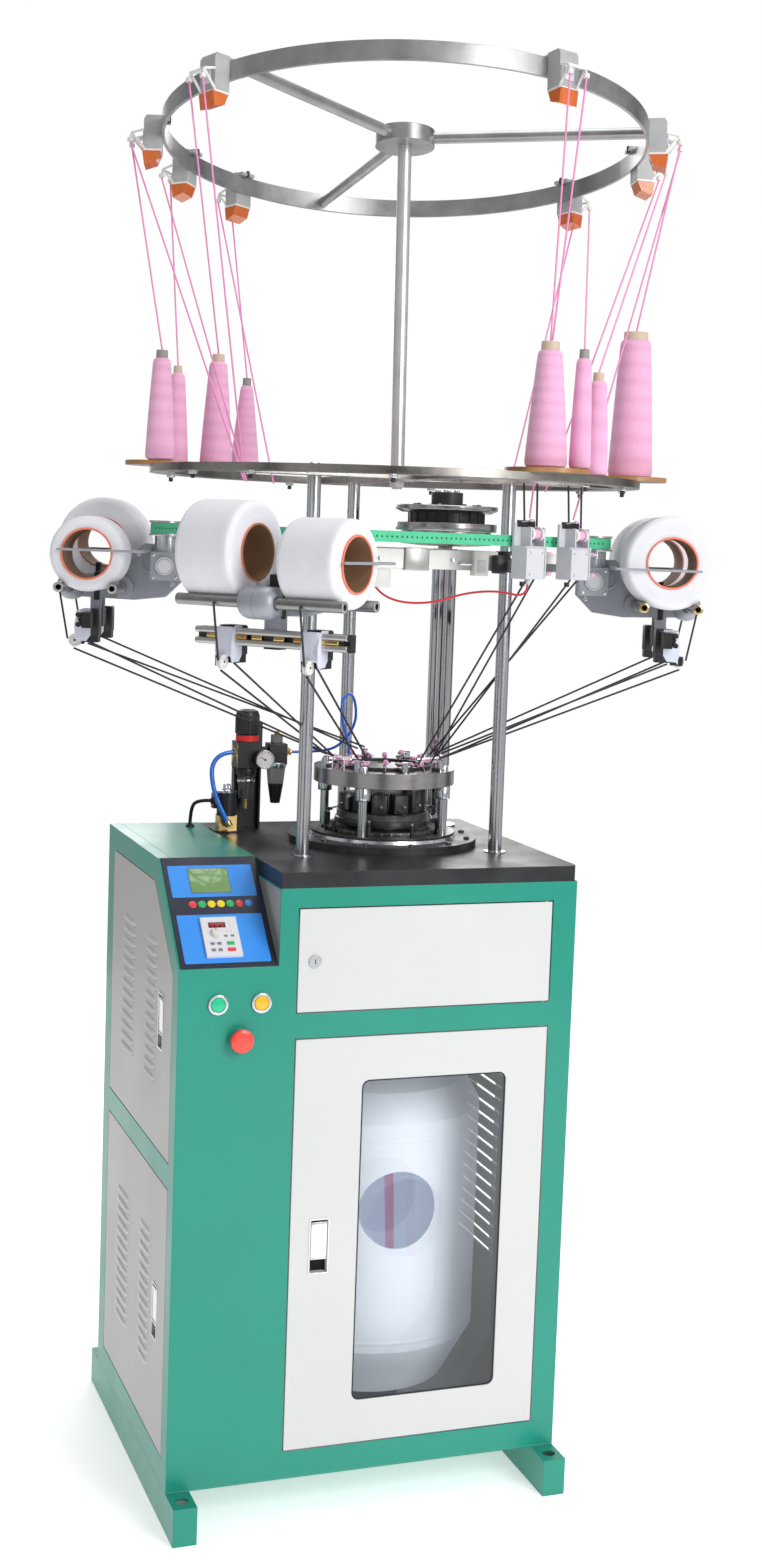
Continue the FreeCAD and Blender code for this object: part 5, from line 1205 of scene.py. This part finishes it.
# ---- creel -------------------------------------------------------------------------------------------
def cones():
    for index, (heading, distance, low_r, top_r, height, on_board) in enumerate(CONES):
        at = around(heading, distance, TRAY_TOP + on_board * BOARD_T)
        twist = Matrix.Rotation(0.7 * index, 4, "Z")
        yarn = Piece("cone_%d_yarn" % (index + 1), Matrix.Translation(at) @ twist)
        line = [(0.006, 0.0008), (low_r - 0.006, 0.0006), (low_r - 0.0015, 0.003), (low_r, 0.008)]
        for step in range(1, 15):
            s = step / 15
            z = 0.008 + (height - 0.016) * s
            bulge = 0.0006 * math.sin(math.pi * s)
            line.append((low_r + (top_r - low_r) * s + bulge, z))
        line += [(top_r, height - 0.008), (top_r - 0.0012, height - 0.003), (top_r - 0.004, height - 0.0006),
                 (max(0.006, top_r - 0.006), height)]
        yarn.lathe(line, yarn_pink, None, 72)
        yarn.done("frame", "cone_pink", ("yarn_cones",) if index == 0 else ())
        tube = Piece("cone_%d_tube" % (index + 1), Matrix.Translation(at))
        r = max(0.007, top_r - 0.005)
        top = height + CONE_TIP
        tube.lathe([(r + 0.0004, height - 0.004), (r, top - 0.001), (r - 0.0004, top), (r - 0.0018, top),
                    (r - 0.0022, top - 0.001), (r - 0.002, height - 0.018), (0, height - 0.018)],
                   tip_grey if index in (0, 3, 5) else tip_card, None, 48)
        tube.done("frame", "cone_pink")


def guide_place(heading):
    lean = Vector((0, 0, 1)).rotation_difference(MAST_AXIS).to_matrix().to_4x4()
    turn = math.radians(heading)
    origin = Vector((TOP_RING_R * math.cos(turn), TOP_RING_R * math.sin(turn), TOP_RING_H))
    return Matrix.Translation(MAST) @ lean @ Matrix.Translation(origin) @ Matrix.Rotation(turn, 4, "Z")


SIDE = Matrix(((1, 0, 0, 0), (0, 0, -1, 0.0165), (0, 1, 0, 0), (0, 0, 0, 1)))


def yarn_guides():
    for index, heading in enumerate(GUIDES):
        piece = Piece("yarn_guide_%d" % (index + 1), guide_place(heading))
        piece.prism([(-0.0003, -0.034), (0.028, -0.034), (0.028, 0.014), (0.024, 0.0205), (-0.0003, 0.0205)],
                    0.033, guide_box, SIDE, 0.0016)
        piece.prism([(-0.0118, 0.0146), (-0.0003, 0.0146), (-0.0003, 0.02), (-0.0118, 0.02)], 0.028,
                    guide_box, shift(0, -0.0025, 0) @ SIDE, 0.0008)
        piece.rod((-0.0105, 0, 0.013), (-0.0105, 0, 0.0235), 0.003, dark_iron)
        piece.prism([(0.0000, -0.0365), (0.0285, -0.0365), (0.0285, -0.0335), (0.0000, -0.0335)], 0.0336,
                    white_plastic, shift(0, 0.0003, 0) @ SIDE, 0.0006)
        piece.prism([(0.0008, -0.0362), (0.007, -0.052), (0.0265, -0.0585), (0.03, -0.0362)], 0.032,
                    amber, shift(0, -0.0005, 0) @ SIDE, 0.0014)
        for s in (-0.015, 0.015):
            piece.rod((0.026, s, -0.033), (0.0465, s, -0.01), 0.002, white_plastic)
            piece.rod((0.027, s, -0.003), (0.047, s, -0.0085), 0.002, white_plastic)
            piece.lathe(eye(0.0016, 0.0048, 0.003), white_plastic, shift(0.049, s, -0.02), 20)
            piece.rod((0.047, s, -0.009), (0.049, s, -0.018), 0.0018, white_plastic)
        piece.rod((0.0465, -0.015, -0.009), (0.0465, 0.015, -0.009), 0.0022, white_plastic)
        piece.box(0.0278, 0.03, -0.0085, 0.0085, -0.024, -0.002, unit_grey, bevel=0.0008)
        for y in (-0.004, 0.004):
            piece.rod((0.03, y, -0.012), (0.036, y, -0.015), 0.0012, polished)
        piece.done("frame", "guide_grey", ("yarn_guides",) if index == 0 else ())


def eyelet(heading, s):
    return guide_place(heading) @ Vector((0.049, s * 0.015, -0.023))


def tight_threads(name, runs, radius, material, replaces=()):
    """Straight runs of thread; the points between the ends keep the spline's tangents along the run."""
    curve = drawn_curve(name, radius, material, 3)
    for start, end in runs:
        nurbs(curve, [start.lerp(end, s) for s in (0.0, 0.33, 0.67, 1.0)])
    handed_over(linked(name, curve), "frame", "thread", replaces)


def creel_threads():
    """From each cone up to a guide, and from the guide down through the tray."""
    for heading, cone in zip(CREEL_ORDER, CONES):
        tip = around(cone[0], cone[1], TRAY_TOP + cone[5] * BOARD_T + cone[4] + CONE_TIP)
        yield tip, eyelet(heading, -1)
        yield Vector(FEED_PORTS[heading]), eyelet(heading, 1)


def spool_threads():
    """From the rollers round the guide wheels to the head; each wheel sends two threads on."""
    for name, targets in HEAD_PORTS.items():
        place = arm_place(name)
        for t, port in zip((-WHEEL_T, WHEEL_T), targets):
            yield (place @ Vector((ROLLER_U + 0.0095, t + 0.001, ROLLER_Z - 0.002)),
                   place @ Vector((WHEEL_U + 0.0116, t + 0.001, WHEEL_Z + 0.002)))
            yield (place @ Vector((WHEEL_U + 0.002, t - 0.0005, WHEEL_Z - 0.0125)),
                   around(port, 0.098, RING_TOP + 0.02))
            yield (place @ Vector((WHEEL_U - 0.01, t + 0.004, WHEEL_Z + 0.004)),
                   around(port + 9, 0.092, RING_TOP + 0.018))


def unit_threads():
    """From each feed unit down to the head and up to the tray."""
    for unit, targets in zip(FEED_UNITS, ((284, 300), (8, 20))):
        for step, target in enumerate(targets):
            yield (Vector((unit.x - 0.008 + 0.012 * step, unit.y, 1.412)),
                   around(target, 0.096, RING_TOP + 0.014))
            yield (Vector((unit.x - 0.014 + 0.02 * step, unit.y + 0.006, 1.487)),
                   Vector((unit.x - 0.016 + 0.022 * step, unit.y + 0.01, 1.551)))


def threads():
    tight_threads("pink_threads", creel_threads(), 0.0014, thread_pink, ("yarn_ends",))
    tight_threads("elastic_threads", [*spool_threads(), *unit_threads()], 0.0016, thread_dark)


def tray_details():
    piece = Piece("tray_bolts")
    for heading in (12, 60, 100, 150, 196, 216, 250, 300, 322, 346):
        at = around(heading, BOLT_CIRCLE, 1.552)
        piece.lathe([(0.007, 0), (0.007, -0.004), (0.0062, -0.005), (0, -0.005)], satin_chrome,
                    Matrix.Translation(at), 6)
        piece.lathe([(0.0034, -0.005), (0.0034, -0.011), (0, -0.0115)], dark_iron, Matrix.Translation(at), 16)
    for x, y in POSTS:
        at = shift(x, y, TRAY_TOP)
        piece.lathe([(0.0132, 0.0), (0.0132, 0.0024), (0.012, 0.0031)], polished, at, 36)
    piece.done("frame", "tray_steel")


# ---- air unit ----------------------------------------------------------------------------------------
def air_knob():
    knob = Piece("air_knob_grip", Matrix.Translation(AIR))
    knob.lathe([(0.018, 1.1338), (0.0194, 1.1342), (0.0196, 1.16), (0.0188, 1.168), (0.0165, 1.1722),
                (0.012, 1.1738), (0, 1.174)], black_plastic, None, 72)
    for turn in ring_of(30):
        knob.box(0.0188, 0.02, -0.0011, 0.0011, 1.135, 1.166, black_plastic, turn, 0.0005)
    knob.done("air_knob", "knob_black", ("air_knob",))


def air_bands(piece):
    """Bands and lips on the regulator, the oiler and the drain."""
    regulator = Matrix.Translation(AIR)
    oiler = Matrix.Translation(OILER)
    for profile, material, place, count in (
            ([(0.0182, 1.1222), (0.0187, 1.1226), (0.0187, 1.1318), (0.0182, 1.1322)],
             red_band, regulator, 56),
            ([(0.015, 1.066), (0.0164, 1.0665), (0.0166, 1.07), (0.0166, 1.078), (0.016, 1.079)],
             black_plastic, regulator, 48),
            ([(0.0146, 1.0552), (0.015, 1.056), (0.015, 1.0585), (0.0146, 1.0592)],
             satin_chrome, regulator, 48),
            ([(0.0168, 1.078), (0.0174, 1.079), (0.0174, 1.086), (0.0166, 1.087)], satin_chrome, oiler, 48),
            ([(0.0048, 1.023), (0.006, 1.0236), (0.006, 1.0268), (0.0048, 1.0275)], brass, regulator, 24)):
        piece.lathe(profile, material, place, count)


def air_gauge(piece):
    gauge = turned("X", 90, (-0.08, 0.132, 1.095))
    piece.lathe([(0.0146, -0.012), (0.0152, -0.011), (0.0156, 0.001), (0.015, 0.0024), (0.0134, 0.0024),
                 (0.0128, 0.0006)], satin_chrome, gauge, 64)
    piece.lathe([(0.013, 0.0004), (0, 0.0006)], dial_white, gauge, 48)
    for k in range(11):
        tick = 0.0022 if k % 2 == 0 else 0.0014
        piece.box(0.0116 - tick, 0.0116, -0.0003, 0.0003, 0.0005, 0.0009, black_plastic,
                  gauge @ turned("Z", 225 - 27 * k), 0.0001)
    piece.box(-0.003, 0.01, -0.0005, 0.0005, 0.001, 0.0014, red_band, gauge @ turned("Z", 150), 0.0002)
    piece.lathe([(0.0016, 0.0006), (0.0016, 0.0018), (0, 0.0019)], black_plastic, gauge, 18)


def air_valve(piece):
    place = Matrix.Translation(VALVE)
    piece.lathe([(0.0161, 1.0385), (0.0164, 1.0392), (0.0164, 1.0412), (0.015, 1.0422), (0.0062, 1.0424)],
                satin_chrome, place, 48)
    piece.lathe([(0.0066, 1.042), (0.0066, 1.048), (0.0058, 1.051), (0.0035, 1.0526), (0, 1.053)], polished,
                place, 6)
    for x in (-0.011, 0.011):
        for y in (-0.0085, 0.0085):
            piece.lathe([(0.0019, 1.0018), (0.0019, 1.003), (0, 1.0032)], satin_chrome,
                        place @ shift(x, y, 0), 14)


def air_details():
    air_knob()
    piece = Piece("air_unit_fittings")
    air_bands(piece)
    air_gauge(piece)
    for start, length in (((-0.1195, 0.168, PORT_Z), -0.004), ((-0.0345, 0.17, PORT_Z), 0.007)):
        piece.lathe([(0.0074, 0), (0.0074, length * 0.8), (0.0068, length)], brass, turned("Y", 90, start), 6)
    air_valve(piece)
    piece.done("frame", "air_black")


def soft_lines():
    cord("air_hose_supply", HOSE_IN, 0.0038, hose_bright, "hose_blue", "air_hose_in")
    cord("air_hose_to_head", HOSE_OUT, 0.0023, hose_deep, "hose_blue", "air_hose_out")
    cord("valve_lead", CABLE_PATH, 0.003, cable_black, "cable_black", "valve_cable")
    cord("feeder_lead", WIRE_PATH, 0.0017, cable_red, "cable_red", "feeder_cable")


# ---- stage -------------------------------------------------------------------------------------------
def world_light():
    """A white world that lights softly and looks fully white behind the machine."""
    world = bpy.data.worlds.new("studio")
    bpy.context.scene.world = world
    world.use_nodes = True
    tree = world.node_tree
    background = tree.nodes["Background"]
    background.inputs["Color"].default_value = (1.0, 1.0, 1.0, 1.0)
    rays = tree.nodes.new("ShaderNodeLightPath")
    strength = tree.nodes.new("ShaderNodeMapRange")
    strength.inputs["To Min"].default_value = 0.43
    strength.inputs["To Max"].default_value = 1.0
    tree.links.new(rays.outputs["Is Camera Ray"], strength.inputs["Value"])
    tree.links.new(strength.outputs["Result"], background.inputs["Strength"])


def flat_sheet(name, corners, material):
    data = bpy.data.meshes.new(name)
    data.from_pydata(corners, [], [(0, 1, 2, 3)])
    data.materials.append(material)
    made = linked(name, data)
    return made


def floor():
    half = 3.4
    pale = surface("floor", (0.9, 0.9, 0.9), 0.7, vary=0.01, vary_scale=1.2, grain=(90.0, 0.02, 0.0005),
                   emit=0.55)
    flat_sheet("floor", [(-half, -half, 0), (half, -half, 0), (half, half, 0), (-half, half, 0)], pale)


def flags():
    """Dark cards that only mirrors see; they draw the edges of the chrome."""
    black = surface("flag", (0.02, 0.02, 0.022), 0.9, grain=(30.0, 0.05, 0.001))
    for index, (heading, width, distance) in enumerate(((250, 0.8, 3.2), (300, 0.5, 3.2), (20, 0.9, 3.0),
                                                        (75, 0.7, 3.4), (140, 0.9, 3.0), (195, 0.7, 3.2))):
        corners = [(0, side * width / 2, z) for side, z in ((-1, 0.1), (1, 0.1), (1, 3.4), (-1, 3.4))]
        flag = flat_sheet("flag_%d" % index, corners, black)
        flag.matrix_world = turned("Z", heading) @ shift(distance, 0, 0)
        flag.visible_camera = False
        flag.visible_diffuse = False
        flag.visible_shadow = False
        flag.visible_transmission = False


def lamps():
    for name, at, target, size, power in (
            ("key", (1.5, -3.6, 2.6), (0, 0, 1.0), (1.8, 2.4), 104),
            ("fill", (-3.4, -1.4, 2.0), (0, 0, 1.1), (1.6, 2.4), 2),
            ("top", (0.3, 0.3, 4.2), (0, 0, 1.0), (2.4, 2.4), 40),
            ("back", (0.8, 3.4, 2.4), (0, 0, 1.2), (2.2, 2.0), 40)):
        light = bpy.data.lights.new(name, "AREA")
        light.shape = "RECTANGLE"
        light.size, light.size_y = size
        light.energy = power
        made = linked(name, light)
        made.location = at
        made.rotation_euler = (Vector(target) - Vector(at)).to_track_quat("-Z", "Y").to_euler()


def camera():
    eye_at = Vector((-0.9885, -2.9685, 1.4651))
    yaw, pitch, roll = 0.343, 0.0967, 0.0356
    forward = Vector((math.sin(yaw) * math.cos(pitch), math.cos(yaw) * math.cos(pitch), -math.sin(pitch)))
    right = Vector((math.cos(yaw), -math.sin(yaw), 0))
    up = right.cross(forward)
    right_rolled = math.cos(roll) * right + math.sin(roll) * up
    up_rolled = -math.sin(roll) * right + math.cos(roll) * up
    data = bpy.data.cameras.new("camera")
    data.lens = 45.77
    data.sensor_width = 36.0
    data.shift_y = -0.0339
    data.clip_end = 60.0
    made = linked("camera", data)
    made.matrix_world = Matrix((
        (right_rolled.x, up_rolled.x, -forward.x, eye_at.x),
        (right_rolled.y, up_rolled.y, -forward.y, eye_at.y),
        (right_rolled.z, up_rolled.z, -forward.z, eye_at.z),
        (0, 0, 0, 1)))
    bpy.context.scene.camera = made
    bpy.context.scene.view_settings.view_transform = "Standard"


paint_cad()
window_gasket()
latch_frames()
louvres()
panel_films()
keypad()
keypad_knob()
push_buttons()
knitted_tube()
barrel_details()
foot_bolts()
needle_bed()
cam_blocks()
head_studs()
yarn_carriers()
belt_holes()
feed_wheel_details()
feed_unit_details()
frame_details()
spools()
arm_details()
cones()
yarn_guides()
threads()
tray_details()
air_details()
soft_lines()
world_light()
floor()
flags()
lamps()
camera()
